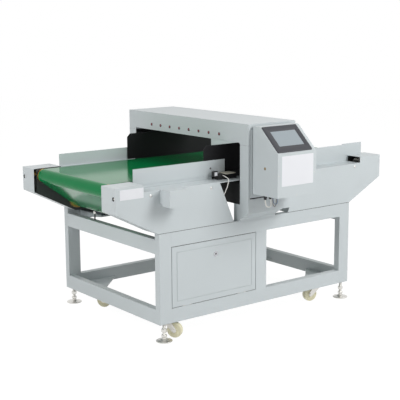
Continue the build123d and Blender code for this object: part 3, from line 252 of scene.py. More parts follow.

# %% [markdown]
# ## Finishes
# Every finish starts from the same plan: a Principled shader, a slow noise that shifts the colour and the
# roughness a little, and a fine noise for the surface. A Bevel node rounds the light on sheet metal edges,
# because folded steel never has a knife edge. A finish can change its colour past a limit along one axis:
# that paints shade, a near black, inside the head round the tunnel, and makes a ring of another metal at
# the end of a roller.

# %% A helper for finishes
SLOW_DETAIL, FINE_DETAIL, BEVEL_SAMPLES = 4.0, 2.0, 6
ROUGHNESS_SHIFT, LEAST_ROUGHNESS, GRAIN_HEIGHT = 0.05, 0.02, 0.0002
BELT_MIDDLE = 0.093


def tint(colour, factor):
    """A colour made lighter or darker, as red, green, blue and alpha."""
    return tuple(min(1.0, c * factor) for c in colour) + (1.0,)


def colour_mix(tree, factor, first, second):
    """A colour that goes from the first to the second; either may be a value or a socket."""
    blend = add(tree, "Mix")
    blend.data_type = "RGBA"
    tree.links.new(factor, blend.inputs["Factor"])
    for name, colour in (("A", first), ("B", second)):
        if isinstance(colour, bpy.types.NodeSocket):
            tree.links.new(colour, blend.inputs[name])
        else:
            blend.inputs[name].default_value = colour
    return blend.outputs["Result"]


def beyond(tree, place, axis, middle, reach):
    """1 where a place is further than the reach from the middle along one axis, else 0."""
    split = add(tree, "SeparateXYZ")
    tree.links.new(place, split.inputs[0])
    steps = [("SUBTRACT", middle), ("ABSOLUTE", 0.0), ("GREATER_THAN", reach)]
    value = split.outputs[axis]
    for operation, number in steps:
        step = add(tree, "Math")
        step.operation = operation
        tree.links.new(value, step.inputs[0])
        step.inputs[1].default_value = number
        value = step.outputs[0]
    return value


def finish(
    name,
    colour,
    roughness,
    metallic=0.0,
    patch_scale=3.0,
    patch_share=0.04,
    grain_scale=900.0,
    grain_depth=0.0,
    edge=0.0,
    coat=0.0,
    specular=0.5,
    ior=1.5,
    end_colour=None,
    end_limit=("Y", BELT_MIDDLE, 0.3),
):
    """Patches of noise shift colour and roughness, grain is the fine bump, edge rounds the corners."""
    material = bpy.data.materials.new(name)
    material.use_nodes = True
    tree = material.node_tree
    shader = tree.nodes["Principled BSDF"]
    place = add(tree, "TexCoord").outputs["Object"]
    patches = add(tree, "TexNoise", Scale=patch_scale, Detail=SLOW_DETAIL)
    tree.links.new(place, patches.inputs["Vector"])
    fac = patches.outputs["Fac"]
    paint = colour_mix(tree, fac, tint(colour, 1.0 - patch_share), tint(colour, 1.0 + patch_share))
    if end_colour:
        paint = colour_mix(tree, beyond(tree, place, *end_limit), paint, tint(end_colour, 1.0))
    tree.links.new(paint, shader.inputs["Base Color"])
    least, most = max(LEAST_ROUGHNESS, roughness - ROUGHNESS_SHIFT), min(1.0, roughness + ROUGHNESS_SHIFT)
    rough = add(tree, "MapRange", To_Min=least, To_Max=most)
    tree.links.new(fac, rough.inputs["Value"])
    tree.links.new(rough.outputs["Result"], shader.inputs["Roughness"])
    shader.inputs["Metallic"].default_value = metallic
    shader.inputs["Specular IOR Level"].default_value = specular
    shader.inputs["IOR"].default_value = ior
    shader.inputs["Coat Weight"].default_value = coat
    normal = None
    if edge > 0:
        bevel = add(tree, "Bevel", Radius=edge)
        bevel.samples = BEVEL_SAMPLES
        normal = bevel.outputs["Normal"]
    if grain_depth > 0:
        grain = add(tree, "TexNoise", Scale=grain_scale, Detail=FINE_DETAIL)
        tree.links.new(place, grain.inputs["Vector"])
        bump = add(tree, "Bump", Strength=grain_depth, Distance=GRAIN_HEIGHT)
        tree.links.new(grain.outputs["Fac"], bump.inputs["Height"])
        if normal:
            tree.links.new(normal, bump.inputs["Normal"])
        normal = bump.outputs["Normal"]
    if normal:
        tree.links.new(normal, shader.inputs["Normal"])
    return material


def dress(material, *names):
    """Gives CAD nodes a finish in every slot they have."""
    for name in names:
        mesh = nodes[name].data
        if not mesh.materials:
            mesh.materials.append(material)
        for index in range(len(mesh.materials)):
            mesh.materials[index] = material


print("finish helpers ready")

# %% [markdown]
# ### Paint, belt and bare metal
# The sheet metal has a light grey powder coat with a hint of blue green. The belt is smooth green PVC.
# The guide plates in the tunnel are painted black, and bolts, feet and casters are zinc plated. The inner
# side plates get painted shade, a near black, since they show only in deep shade between the covers. So
# does the head's inside round the tunnel, with the side strips near it. A limit is an axis, a middle and
# how far from the middle the second colour starts.

# %% Paint, belt and bare metal
PAINT, DARK = (0.575, 0.622, 0.636), (0.006, 0.006, 0.007)
YELLOW_METAL = (0.80, 0.50, 0.10)
# Painted shade: the crown is near black beyond its limit, the columns and strips within theirs, so the
# head's inside round the tunnel is dark.
CROWN_SHADE_LIMIT, COLUMN_SHADE_LIMIT = ("Z", 1.0, 0.0925), ("Y", BELT_MIDDLE, 0.4483)
STRIP_SHADE_LIMIT, RING_LIMIT = ("X", 0.0, 0.240), ("Y", BELT_MIDDLE, 0.3005)
fine = {"patch_share": 0.02, "grain_depth": 0.12, "grain_scale": 700}
powder_coat = finish("powder_coat", PAINT, 0.36, edge=0.0012, **fine)
frame_coat = finish("frame_coat", PAINT, 0.40, edge=0.0025, **fine)
# Painted shade: the inner side plates are near black, as they show only in deep shade between the covers.
inner_painted_shade = finish("inner_painted_shade", (0.035, 0.038, 0.038), 0.55, patch_share=0.1, grain_depth=0.1)
bed_steel = finish("bed_steel", (0.30, 0.33, 0.34), 0.45, patch_share=0.05, grain_depth=0.1)
dark = {"patch_share": 0.1, "grain_depth": 0.2, "specular": 0.25}
black_coat = finish("black_coat", DARK, 0.5, edge=0.0006, **dark)
# Painted shade: the three finishes below make the head's inside round the tunnel, and the side strips  near
# it, near black.
to_painted_shade, to_paint = {"end_colour": DARK, **fine}, {"end_colour": PAINT, **fine}
crown_with_painted_shade = finish("crown_with_painted_shade", PAINT, 0.36, edge=0.0012, end_limit=CROWN_SHADE_LIMIT, **to_painted_shade)
column_with_painted_shade = finish("column_with_painted_shade", DARK, 0.4, edge=0.0012, end_limit=COLUMN_SHADE_LIMIT, **to_paint)
strip_with_painted_shade = finish("strip_with_painted_shade", DARK, 0.4, end_limit=STRIP_SHADE_LIMIT, **to_paint)
smooth_pvc = {"patch_scale": 2.0, "patch_share": 0.08, "grain_depth": 0.03, "ior": 1.22}
belt_pvc = finish("belt_pvc", (0.0, 0.205, 0.058), 0.14, **smooth_pvc)
plated = {"metallic": 1.0, "patch_scale": 30, "grain_depth": 0.2, "edge": 0.0005}
zinc = finish("zinc", (0.68, 0.67, 0.64), 0.36, patch_share=0.12, **plated)
yellow_zinc = finish("yellow_zinc", (0.75, 0.50, 0.14), 0.35, patch_share=0.15, **plated)
dark_bolt = finish("dark_bolt", (0.16, 0.16, 0.16), 0.4, patch_share=0.15, **plated)
brass = finish("brass", (0.30, 0.24, 0.15), 0.45, patch_share=0.08, **plated)
ALLOY = (0.62, 0.62, 0.61)
satin = {"metallic": 1.0, "patch_scale": 20, "grain_depth": 0.15}
satin_alloy = finish("satin_alloy", ALLOY, 0.38, **satin)
pulley_alloy = finish("pulley_alloy", ALLOY, 0.38, end_colour=YELLOW_METAL, end_limit=RING_LIMIT, **satin)
chrome = finish("chrome", (0.50, 0.51, 0.53), 0.2, metallic=1.0, patch_share=0.03, edge=0.0004)
print("metal and paint finishes", len(bpy.data.materials))

# %% [markdown]
# ### Plastics, rubber and glass
# The touch panel has a dark grey moulded rim round a pale screen that is switched off. The casters are cream
# nylon, the sensor's bracket has a beige cap, and the small lamps have dark red lenses.

# %% Plastics, rubber and glass
CAP_LIMIT = ("Z", 0.7635, 0.0016)
moulded = {"patch_share": 0.04, "grain_depth": 0.12, "edge": 0.0006}
motor_coat = finish("motor_coat", (0.10, 0.12, 0.14), 0.5, patch_share=0.08, grain_depth=0.25)
# This black is real rubber for most parts, and painted shade for the strip under the bracket plate.
rubber_and_shade_black = finish("rubber_and_shade_black", (0.012, 0.012, 0.013), 0.6, patch_share=0.1, grain_depth=0.2)
nylon = finish("nylon", (0.80, 0.76, 0.54), 0.42, patch_scale=25, **moulded)
cap_plastic = finish("cap_plastic", (0.50, 0.48, 0.40), 0.45, end_colour=DARK, end_limit=CAP_LIMIT, **moulded)
bezel_plastic = finish("bezel_plastic", (0.032, 0.034, 0.042), 0.38, **moulded)
glass_grey = finish("glass_grey", (0.32, 0.37, 0.40), 0.12, patch_share=0.03)
cable_white = finish("cable_white", (0.80, 0.79, 0.75), 0.5, patch_share=0.05)
wire_brown = finish("wire_brown", (0.10, 0.045, 0.025), 0.5, patch_share=0.05)
wire_blue = finish("wire_blue", (0.03, 0.12, 0.28), 0.5, patch_share=0.05)
lamp_red = finish("lamp_red", (0.15, 0.003, 0.012), 0.2, patch_share=0.05, coat=0.5)
paper_white = finish("paper_white", (0.80, 0.81, 0.84), 0.5, patch_share=0.02, grain_depth=0.1)
duct_grey = finish("duct_grey", (0.42, 0.44, 0.46), 0.5, **moulded)
device_grey = finish("device_grey", (0.55, 0.56, 0.55), 0.45, **moulded)
print("all finishes", len(bpy.data.materials))

# %% [markdown]
# ### Dress the ready-made nodes
# Each node gets one finish. Where a finer piece takes a node's place later, the node still keeps its finish.

# %% Dress the ready-made nodes
CORNERS = ("front_left", "front_right", "rear_left", "rear_right")
DRESSING = [
    (frame_coat, "frame_legs frame_rails motor_mount frame_plates"),
    (powder_coat, "infeed_covers outfeed_covers side_guards bed_side_rails head_pedestals control_box"),
    (powder_coat, "control_box_cover control_box_bracket encoder_housing cabinet_door electrical_cabinet"),
    # the next two finishes carry painted shade inside the head, round the tunnel
    (crown_with_painted_shade, "head_upper_housing"),
    (column_with_painted_shade, "head_columns head_lower_housing"),
    # painted shade: the inner side plates are near black
    (inner_painted_shade, "conveyor_side_plates"),
    (bed_steel, "slider_bed take_up_guides"),
    (black_coat, "tunnel_guide_plates"),
    # painted shade: near the head the side strips are near black
    (strip_with_painted_shade, "side_strips"),
    (belt_pvc, "conveyor_belt"),
    (zinc, "caster_stems flange_bearings take_up_carriages door_hinges support_stud"),
    (satin_alloy, "outfeed_pulley snub_roller return_roller motor_sheave"),
    (pulley_alloy, "infeed_pulley"),
    (yellow_zinc, "drive_drum"),
    (motor_coat, "gearmotor"),
    (rubber_and_shade_black, "drive_belt cable_glands belt_sensor"),
    (device_grey, "cabinet_components"),
    (lamp_red, "indicator_lamps"),
    (bezel_plastic, "touch_panel_bezel"),
    (glass_grey, "touch_screen"),
    (cap_plastic, "sensor_bracket"),
    (chrome, "cam_lock_body"),
    (dark_bolt, "cam_lock_plug"),
]
for material, names in DRESSING:
    dress(material, *names.split())
for corner in CORNERS:
    dress(zinc, f"foot_{corner}", f"caster_fork_{corner}")
    dress(nylon, f"caster_wheel_{corner}")
loop_cable.data.materials.append(cable_white)
sensor_lead.data.materials.append(cable_white)
brown_wire.data.materials.append(wire_brown)
blue_wire.data.materials.append(wire_blue)
print("dressed", len(nodes), "nodes")

# %% [markdown]
# ## Shapes from numbers
# The added pieces are small turned and moulded things: screws, nuts, lamps, glands. Nearly all of them are
# stacked rings of points with a skin between them. A turned part has round rings, a nut has rings cut by
# a hexagon, and a moulded rim has rings that are rounded rectangles.

# %% Rings, skins and caps
UPRIGHT, SHARP_ANGLE = 0.99, math.radians(38)


def grid_quads(rows, columns):
    """The quads between rows of points; the last column joins the first."""
    row, column = np.meshgrid(np.arange(rows - 1), np.arange(columns), indexing="ij")
    here = row * columns + column
    beside = row * columns + (column + 1) % columns
    return np.stack([here, beside, beside + columns, here + columns], -1).reshape(-1, 4)


def loft(rings):
    """A skin over rings of points that run anticlockwise, with a flat cap on the first and on the last."""
    rows, columns = rings.shape[:2]
    first = np.arange(columns)[None]
    return rings.reshape(-1, 3), [grid_quads(rows, columns), first[:, ::-1], first + (rows - 1) * columns]


def round_angles(columns):
    """Angles once round, evenly spaced."""
    return np.linspace(0, 2 * np.pi, columns, endpoint=False)


def rings_about_z(radius, height, angle):
    """Points at radius times the cosine and sine of the angle; each row has its own heights."""
    radius, height, angle = np.broadcast_arrays(radius, height, angle)
    return np.stack([radius * np.cos(angle), radius * np.sin(angle), height], -1)


def lathe(profile, columns=32):
    """A profile of radius and height turned about Z."""
    radius, height = np.array(profile).T
    return loft(rings_about_z(radius[:, None], height[:, None], round_angles(columns)[None]))


def join(*shapes):
    """Several shapes as one: each one's faces count on from the points before it."""
    starts = np.cumsum([0] + [len(points) for points, _ in shapes])
    blocks = [block + start for (_, faces), start in zip(shapes, starts) for block in faces]
    return np.concatenate([points for points, _ in shapes]), blocks


def stand(shape, place, out=(0, 0, 1)):
    """Turns a shape's Z to a direction, with its Y as far upwards as it can be, and carries it to a place."""
    points, faces = shape
    out = Vector(out).normalized()
    up = Vector((0, 1, 0)) if abs(out.z) > UPRIGHT else Vector((0, 0, 1))
    side = up.cross(out).normalized()
    return points @ np.array([side, out.cross(side), out]) + np.array(place), faces


def settle(name, shape, material, body="base", replaced=(), smooth=True):
    """Makes the mesh of a shape, gives it its finish and its slot, and lets it ride on a body."""
    points, blocks = shape
    mesh = bpy.data.meshes.new(name)
    mesh.from_pydata(points.tolist(), [], [face for block in blocks for face in block.tolist()])
    mesh.materials.append(material)
    if smooth:
        mesh.shade_smooth()
        mesh.set_sharp_from_angle(angle=SHARP_ANGLE)
    piece = bpy.data.objects.new(name, mesh)
    bpy.context.scene.collection.objects.link(piece)
    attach(piece, body)
    if replaced:
        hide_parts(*replaced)
    return piece


print("a unit cone has", len(lathe([(1, 0), (0.1, 1)])[0]), "points")

# %% [markdown]
# ### Nuts and threads
# A nut is the smaller of two radii at every angle and height: the edge of a hexagon and a cone that takes
# its corners off. A thread is a radius that drops by a triangle wave, where the wave moves round with the
# height, so the ridge climbs one pitch in each turn.

# %% Nuts and threads
NUT_DROPS, NUT_RISES = np.array([1.1, 0.6, 0.0, 0.0, 0.6, 1.1]), np.array([0.0, 0.6, 1.2])
NUT_SLOPE, THREAD_DEPTH = 0.58, 0.6


def hexagon(flat, angle):
    """The edge's radius: the half width over the cosine of the angle from the side's middle."""
    return flat / np.cos((angle + np.pi / 6) % (np.pi / 3) - np.pi / 6)


def hex_nut(flat, low, high, columns=48):
    """At each angle and height the smaller radius of a hexagon and of a cone at either end."""
    angle = round_angles(columns)[None]
    edge = hexagon(flat, angle)
    corner = flat / np.cos(np.pi / 6)
    drop = (corner - flat) * NUT_DROPS[:, None]
    rise = NUT_SLOPE * (corner - flat) * NUT_RISES
    height = np.concatenate([low + rise, (high - rise)[::-1]])[:, None]
    return loft(rings_about_z(np.minimum(edge, corner - drop), height, angle))


def thread(radius, pitch, low, high, columns=24, rows_a_turn=6):
    """The radius less a triangle wave of height over pitch less the angle's share of a turn."""
    height = np.linspace(low, high, int((high - low) / pitch * rows_a_turn) + 1)[:, None]
    angle = round_angles(columns)[None]
    wave = np.abs(2 * ((height / pitch - angle / (2 * np.pi)) % 1) - 1)
    return loft(rings_about_z(radius - THREAD_DEPTH * pitch * wave, height, angle))


print("one turn of thread has", len(thread(0.008, 0.002, 0, 0.002)[0]), "points")

# %% [markdown]
# ## Levelling feet
# Each foot is a dished steel pad with a turned hub, a fixed nut above it, a threaded spindle that goes up
# into the leg, and a lock nut. The ready-made feet have the right sizes but plain rods, so these stand
# for them. The heights come from the ready-made foot, which stands on the floor.

# %% Levelling feet
PAD_RADIUS, PAD_EDGE, HUB_RADIUS, HUB_HEIGHT = 0.040, 0.006, 0.011, 0.018
SPINDLE_RADIUS, SPINDLE_PITCH, SPINDLE_TOP, NUT_FLAT = 0.008, 0.002, 0.148, 0.0121
FIXED_NUT, LOCK_NUT = (0.022, 0.033), (0.046, 0.062)
PAD_LIP, PAD_SOFT, HUB_NECK, HUB_SOFT, SLOPE_POWER, CENTRE = 0.002, 0.0015, 0.003, 0.001, 1.8, 0.001


def foot_profile():
    """The pad's bottom, its rolled edge, the hollow slope up to the hub and the hub's rounded top."""
    share = np.linspace(0, 1, 9)
    slope_radius = PAD_RADIUS - PAD_LIP - (PAD_RADIUS - PAD_LIP - HUB_RADIUS) * share
    slope_height = PAD_EDGE + (HUB_HEIGHT - HUB_NECK - PAD_EDGE) * share**SLOPE_POWER
    edge = [(CENTRE, 0), (PAD_RADIUS - PAD_SOFT, 0)]
    edge += [(PAD_RADIUS, PAD_SOFT), (PAD_RADIUS, PAD_EDGE - PAD_SOFT)]
    hub = [(HUB_RADIUS, HUB_HEIGHT - HUB_SOFT), (HUB_RADIUS - HUB_SOFT, HUB_HEIGHT), (CENTRE, HUB_HEIGHT)]
    return edge + list(zip(slope_radius, slope_height)) + hub


def levelling_foot(place):
    """The pad, the spindle and both nuts on one axis."""
    parts = [
        lathe(foot_profile(), 64),
        thread(SPINDLE_RADIUS, SPINDLE_PITCH, HUB_HEIGHT, SPINDLE_TOP),
        hex_nut(NUT_FLAT, *FIXED_NUT),
        hex_nut(NUT_FLAT, *LOCK_NUT),
    ]
    return stand(join(*parts), place)


for corner in CORNERS:
    node = f"foot_{corner}"
    low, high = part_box(node)
    place = ((low.x + high.x) / 2, (low.y + high.y) / 2, low.z)
    settle(f"levelling_{node}", levelling_foot(place), zinc, node, [node])
print("the last foot stands at", tuple(round(v, 3) for v in place))

# %% [markdown]
# ## Support stud
# On the infeed end rail stands a dark threaded stud with a bright nut.

# %% Support stud
low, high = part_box("support_stud")
stud_place = ((low.x + high.x) / 2, (low.y + high.y) / 2, 0)
STUD_RADIUS, STUD_PITCH = 0.004, 0.00125
STUD_NUT_FLAT, STUD_NUT_FOOT, STUD_TIP = 0.006, 0.014, 0.001
stud = stand(thread(STUD_RADIUS, STUD_PITCH, low.z, high.z), stud_place)
nut = stand(hex_nut(STUD_NUT_FLAT, high.z - STUD_NUT_FOOT, high.z - STUD_TIP), stud_place)
settle("threaded_stud", stud, dark_bolt, replaced=["support_stud"])
settle("stud_nut", nut, zinc)
print("stud height", round(high.z - low.z, 3))

# %% [markdown]
# ## Screws
# The sheets are held by button head screws. Those on the covers have a wide washer, which catches the light
# as a pale rosette. A head is a turned dome with a six sided socket, made by rings that go down into the
# head. The covers and the guards have their screws at the same places at the front and at the rear.

# %% Screws
WASHER_THICK, WASHER_SOFT, WASHER_SIDE = 0.0012, 0.0006, 0.7
DOME_EDGE, DOME_TOP, DOME_RISE, DOME_FALL, DOME_FOOT = 0.98, 0.55, 0.55, 0.75, 0.0002
SOCKET_SHARE, SOCKET_FLOOR = 0.42, 0.08


def button_screw(radius, washer=0.0):
    """A washer, a dome whose height falls with the square of the radius, and a hexagonal socket."""
    share = np.linspace(DOME_EDGE, DOME_TOP, 7)
    thick = WASHER_THICK if washer else 0.0
    rows = [*zip(radius * share, thick + DOME_RISE * radius * (1 - DOME_FALL * share**2))]
    if washer:
        rim = [(washer, 0), (washer, thick * WASHER_SIDE), (washer - WASHER_SOFT, thick)]
        rows = [*rim, (radius, thick), *rows]
    else:
        rows = [(radius, 0), (radius, DOME_FOOT), *rows]
    angle = round_angles(36)[None]
    radii, heights = np.array(rows).T
    turned = rings_about_z(radii[:, None], heights[:, None], angle)
    levels = np.array([heights[-1], thick + SOCKET_FLOOR * radius])[:, None]
    socket = rings_about_z(hexagon(SOCKET_SHARE * radius, angle), levels, angle)
    return loft(np.concatenate([turned, socket]))


def screws(name, places, out, radius, washer=0.0, material=zinc):
    """One piece with a screw at each place."""
    shapes = [stand(button_screw(radius, washer), place, out) for place in places]
    settle(name, join(*shapes), material)


TO_FRONT, TO_REAR, TO_INFEED, DOWN = (0, -1, 0), (0, 1, 0), (-1, 0, 0), (0, 0, -1)
COVER_SCREWS = [(-0.672, 0.7144), (-0.320, 0.711), (0.669, 0.718)]
PANEL_SCREWS = [(-0.125, 0.781), (-0.012, 0.8765), (0.109, 0.7796), (-0.0083, 0.6804)]
GUARD_SCREW_X, GUARD_SCREW_Z, EARTH_SCREW_Y, EARTH_SCREW_Z = -0.250, 0.789, -0.515, 0.8066
COVER_SCREW, COVER_WASHER, GUARD_SCREW = 0.0055, 0.008, 0.005
PANEL_SCREW, PANEL_SCREW_SINK, EARTH_SCREW, EARTH_WASHER = 0.004, 0.0013, 0.005, 0.007
cover_front, cover_rear = (corner.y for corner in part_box("infeed_covers"))
for side, face, out in (("front", cover_front, TO_FRONT), ("rear", cover_rear, TO_REAR)):
    places = [(x, face, z) for x, z in COVER_SCREWS]
    screws(f"cover_screws_{side}", places, out, COVER_SCREW, COVER_WASHER, satin_alloy)
guard_front, guard_rear = (corner.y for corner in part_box("side_guards"))
for side, face, out in (("front", guard_front, TO_FRONT), ("rear", guard_rear, TO_REAR)):
    places = [(GUARD_SCREW_X, face, GUARD_SCREW_Z)]
    screws(f"guard_screws_{side}", places, out, GUARD_SCREW, material=dark_bolt)
panel_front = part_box("control_box_cover")[0].y
places = [(x, panel_front + PANEL_SCREW_SINK, z) for x, z in PANEL_SCREWS]
screws("panel_screws", places, TO_FRONT, PANEL_SCREW)
earth_place = (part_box("control_box")[0].x, EARTH_SCREW_Y, EARTH_SCREW_Z)
screws("earth_screw", [earth_place], TO_INFEED, EARTH_SCREW, EARTH_WASHER, brass)
print("screws", 2 * (len(COVER_SCREWS) + 1) + len(PANEL_SCREWS) + 1)

# %% [markdown]
# ## Bare label places
# The real machine carries printed labels. Here their places stay bare: a white plate on the infeed cover and
# a white sheet on the control box, each a thin slab with round corners and a softened edge.

# %% Bare label places


def rounded_rectangle(width, height, corner, steps=6):
    """Corner centres plus the corner radius times the cosine and sine, a quarter turn at each corner."""
    quarter = np.linspace(0, np.pi / 2, steps + 1)
    angle = (quarter + np.arange(4)[:, None] * np.pi / 2).ravel()
    sign = np.array([[1, 1], [-1, 1], [-1, -1], [1, -1]]).repeat(steps + 1, 0)
    middle = sign * (np.array([width, height]) / 2 - corner)
    return middle + corner * np.stack([np.cos(angle), np.sin(angle)], 1)


def raised(outlines, heights):
    """Outlines in the plane as rings at their heights."""
    return np.stack([np.column_stack([o, np.full(len(o), h)]) for o, h in zip(outlines, heights)])


def slab(width, height, thickness, corner, soft):
    """A plate whose upper edge turns in by the soft radius."""
    full = rounded_rectangle(width, height, corner)
    inset = rounded_rectangle(width - soft, height - soft, corner - soft / 2)
    return loft(raised([full, full, inset], [0, thickness - soft / 2, thickness]))


LABEL_SPAN, LABEL_RISE = (-0.840, -0.712), (0.711, 0.758)
SHEET_SPAN, SHEET_RISE = (-0.105, 0.099), (0.728, 0.872)
LABEL_THICKNESS, SHEET_THICKNESS, LABEL_CORNER, SHEET_CORNER = 0.0006, 0.0003, 0.0015, 0.003


def bare_plate(name, span, rise, face, thickness, corner):
    """A blank white plate on a front face."""
    width, height = span[1] - span[0], rise[1] - rise[0]
    place = ((span[0] + span[1]) / 2, face, (rise[0] + rise[1]) / 2)
    shape = stand(slab(width, height, thickness, corner, thickness), place, TO_FRONT)
    settle(name, shape, paper_white)
    return width, height


bare_label = bare_plate("bare_label", LABEL_SPAN, LABEL_RISE, cover_front, LABEL_THICKNESS, LABEL_CORNER)
bare_sheet = bare_plate("bare_sheet", SHEET_SPAN, SHEET_RISE, panel_front, SHEET_THICKNESS, SHEET_CORNER)
print("label", bare_label, "sheet", bare_sheet)

# %% [markdown]
# ## Seals and gaskets
# Dark lines show where parts meet: a flat rubber strip between the covers and the frame's rails, and a seal
# round the cabinet's opening behind the door's gap. Under the control box's bracket plate a black strip is
# painted shade: it stands for the shadow line beneath the plate.

# %% Seals and gaskets
frame_top_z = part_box("infeed_covers")[0].z
GASKET_HEIGHT, GASKET_PROUD, SEAL_CORNER = 0.0018, 0.0004, 0.002


def strip(x0, x1, y0, y1, z0, z1, soft=0.0004):
    """A bar with its upper edge turned in, stood on its middle."""
    shape = slab(x1 - x0, y1 - y0, z1 - z0, soft, soft)
    return stand(shape, ((x0 + x1) / 2, (y0 + y1) / 2, z0))


def opening_seal(x0, x1, z0, z1, width, depth, face):
    """A rectangular ring on a front face: outer and inner rectangles at the face and in front of it."""
    outer = rounded_rectangle(x1 - x0, z1 - z0, SEAL_CORNER)
    inner = rounded_rectangle(x1 - x0 - 2 * width, z1 - z0 - 2 * width, SEAL_CORNER / 2)
    rings = raised([inner, outer, outer, inner], [0, 0, depth, depth])
    rows, columns = rings.shape[:2]
    faces = [grid_quads(rows + 1, columns) % (rows * columns)]
    return stand((rings.reshape(-1, 3), faces), ((x0 + x1) / 2, face, (z0 + z1) / 2), TO_FRONT)


infeed_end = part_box("infeed_covers")[1].x
frame_low, frame_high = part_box("frame_rails")
gasket_low, gasket_high = frame_top_z, frame_top_z + GASKET_HEIGHT
gaskets = [
    strip(x0, x1, y - GASKET_PROUD, y + GASKET_PROUD, gasket_low, gasket_high)
    for x0, x1 in ((frame_low.x, infeed_end), (-infeed_end, frame_high.x))
    for y in (cover_front, cover_rear)
]
settle("rail_gaskets", join(*gaskets), rubber_and_shade_black)
cabinet_low, cabinet_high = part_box("electrical_cabinet")
SEAL_WIDTH, SEAL_DEPTH = 0.0036, 0.0008
door_seal = opening_seal(
    cabinet_low.x, cabinet_high.x, cabinet_low.z, cabinet_high.z, SEAL_WIDTH, SEAL_DEPTH, cabinet_low.y
)
settle("door_seal", door_seal, rubber_and_shade_black)
bracket_low, bracket_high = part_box("control_box_bracket")
# Painted shade: a black strip under the bracket plate stands for the shadow line beneath it.
PLATE_GAP, SHADOW_STRIP_HEIGHT = 0.003, 0.006
painted_shadow_strip = strip(
    bracket_low.x,
    bracket_high.x,
    bracket_low.y + PLATE_GAP,
    bracket_high.y - PLATE_GAP / 2,
    bracket_low.z - SHADOW_STRIP_HEIGHT,
    bracket_low.z,
)
settle("bracket_shadow_strip", painted_shadow_strip, rubber_and_shade_black)
print("gaskets", len(gaskets))

# %% [markdown]
# ## Touch panel
# The rim of the touch panel is a moulding with round corners: it rises from the sloping face, turns over a
# soft edge, goes on flat towards the screen and steps down to the glass. The screen is the ready-made one,
# just inside the step.

# %% Touch panel
SLOPE_OUT = Vector((0, -0.117, 0.126)).normalized()
RIM_SIZE, SCREEN_SIZE = (0.222, 0.163), (0.158, 0.092)
RIM_HEIGHT, SCREEN_DEPTH, RIM_CORNER, SCREEN_CORNER, SEAT_STEP = 0.005, 0.0006, 0.006, 0.0015, 0.0002
screen_low, screen_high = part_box("touch_screen")
rim_place = (screen_low + screen_high) / 2 - SLOPE_OUT * (RIM_HEIGHT - SCREEN_DEPTH / 2)


def panel_rim():
    """Rounded rectangles from the foot over the edge and down to the screen's seat."""
    insets = np.array([0.0, 0.0, 0.0006, 0.0018, 0.0040])
    heights = np.array([0.0, 0.0030, 0.0042, 0.0048, 0.0050])
    outer = [rounded_rectangle(RIM_SIZE[0] - 2 * i, RIM_SIZE[1] - 2 * i, RIM_CORNER - i) for i in insets]
    gaps = np.array([0.0016, 0.0004, 0.0004])
    inner = [rounded_rectangle(SCREEN_SIZE[0] + g, SCREEN_SIZE[1] + g, SCREEN_CORNER) for g in gaps]
    seat = RIM_HEIGHT - SCREEN_DEPTH
    return loft(raised(outer + inner, [*heights, RIM_HEIGHT, seat + SEAT_STEP, seat - SEAT_STEP]))


rim = stand(panel_rim(), rim_place, SLOPE_OUT)
settle("panel_rim", rim, bezel_plastic, replaced=["touch_panel_bezel"])
print("touch panel at", tuple(round(v, 3) for v in rim_place))

# %% [markdown]
# ## Lamps on the head
# Eight small red lamps stand in a row on the infeed side of the head. Each has a dark ring and a domed lens,
# which rises with the square root of one less the square of the radius share, as a ball does. The ready-made
# lamps are narrower and only give the places.

# %% Lamps on the head
lamps_low, lamps_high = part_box("indicator_lamps")
LAMP_COUNT, LAMP_RADIUS = 8, 0.005
LENS_RADIUS, LENS_NECK, LENS_RISE, LENS_TOP = 0.0072, 0.0013, 0.0017, 0.05
RING_RADIUS, RING_SOFT, RING_SIDE, RING_TOP = 0.0081, 0.0002, 0.0009, 0.0012
RING_BORE, RING_SEAT = 0.0073, 0.0004
lamp_y = np.linspace(lamps_low.y + LAMP_RADIUS, lamps_high.y - LAMP_RADIUS, LAMP_COUNT)
lamp_face = lamps_high.x
lamp_z = (lamps_low.z + lamps_high.z) / 2


def lamp_lens():
    """A short neck under a ball's cap."""
    share = np.sin(np.linspace(np.pi / 2, LENS_TOP, 8))
    dome = zip(LENS_RADIUS * share, LENS_NECK + LENS_RISE * np.sqrt(1 - share**2))
    return lathe([(LENS_RADIUS, 0.0), *dome], 24)


def lamp_ring():
    """A flat ring with a turned edge."""
    side = [(RING_RADIUS, 0), (RING_RADIUS, RING_SIDE), (RING_RADIUS - RING_SOFT, RING_TOP)]
    return lathe([*side, (RING_BORE, RING_TOP), (RING_BORE, RING_SEAT)], 24)


lamp_places = [(lamp_face, y, lamp_z) for y in lamp_y.tolist()]
lenses = join(*[stand(lamp_lens(), place, TO_INFEED) for place in lamp_places])
rings = join(*[stand(lamp_ring(), place, TO_INFEED) for place in lamp_places])
settle("lamp_lenses", lenses, lamp_red, replaced=["indicator_lamps"])
settle("lamp_rings", rings, dark_bolt)
print("lamps every", round(float(lamp_y[1] - lamp_y[0]), 4), "m")

# %% [markdown]
# ## Cable glands
# The cables enter the control box through two black glands. Each is a hexagon under the box and a domed nut
# with ribs round it: the nut's radius has a small cosine ripple round the turn.

# %% Cable glands
glands_low, glands_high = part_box("cable_glands")
GLAND_RADIUS, GLAND_RIBS, GLAND_RIPPLE = 0.009, 12, 0.0002
COLLAR_RADIUS, COLLAR_SIDE, COLLAR_TOP, GLAND_FLAT, GLAND_STEP = 0.0088, 0.002, 0.0024, 0.0078, 0.0142
gland_y = (glands_low.y + glands_high.y) / 2


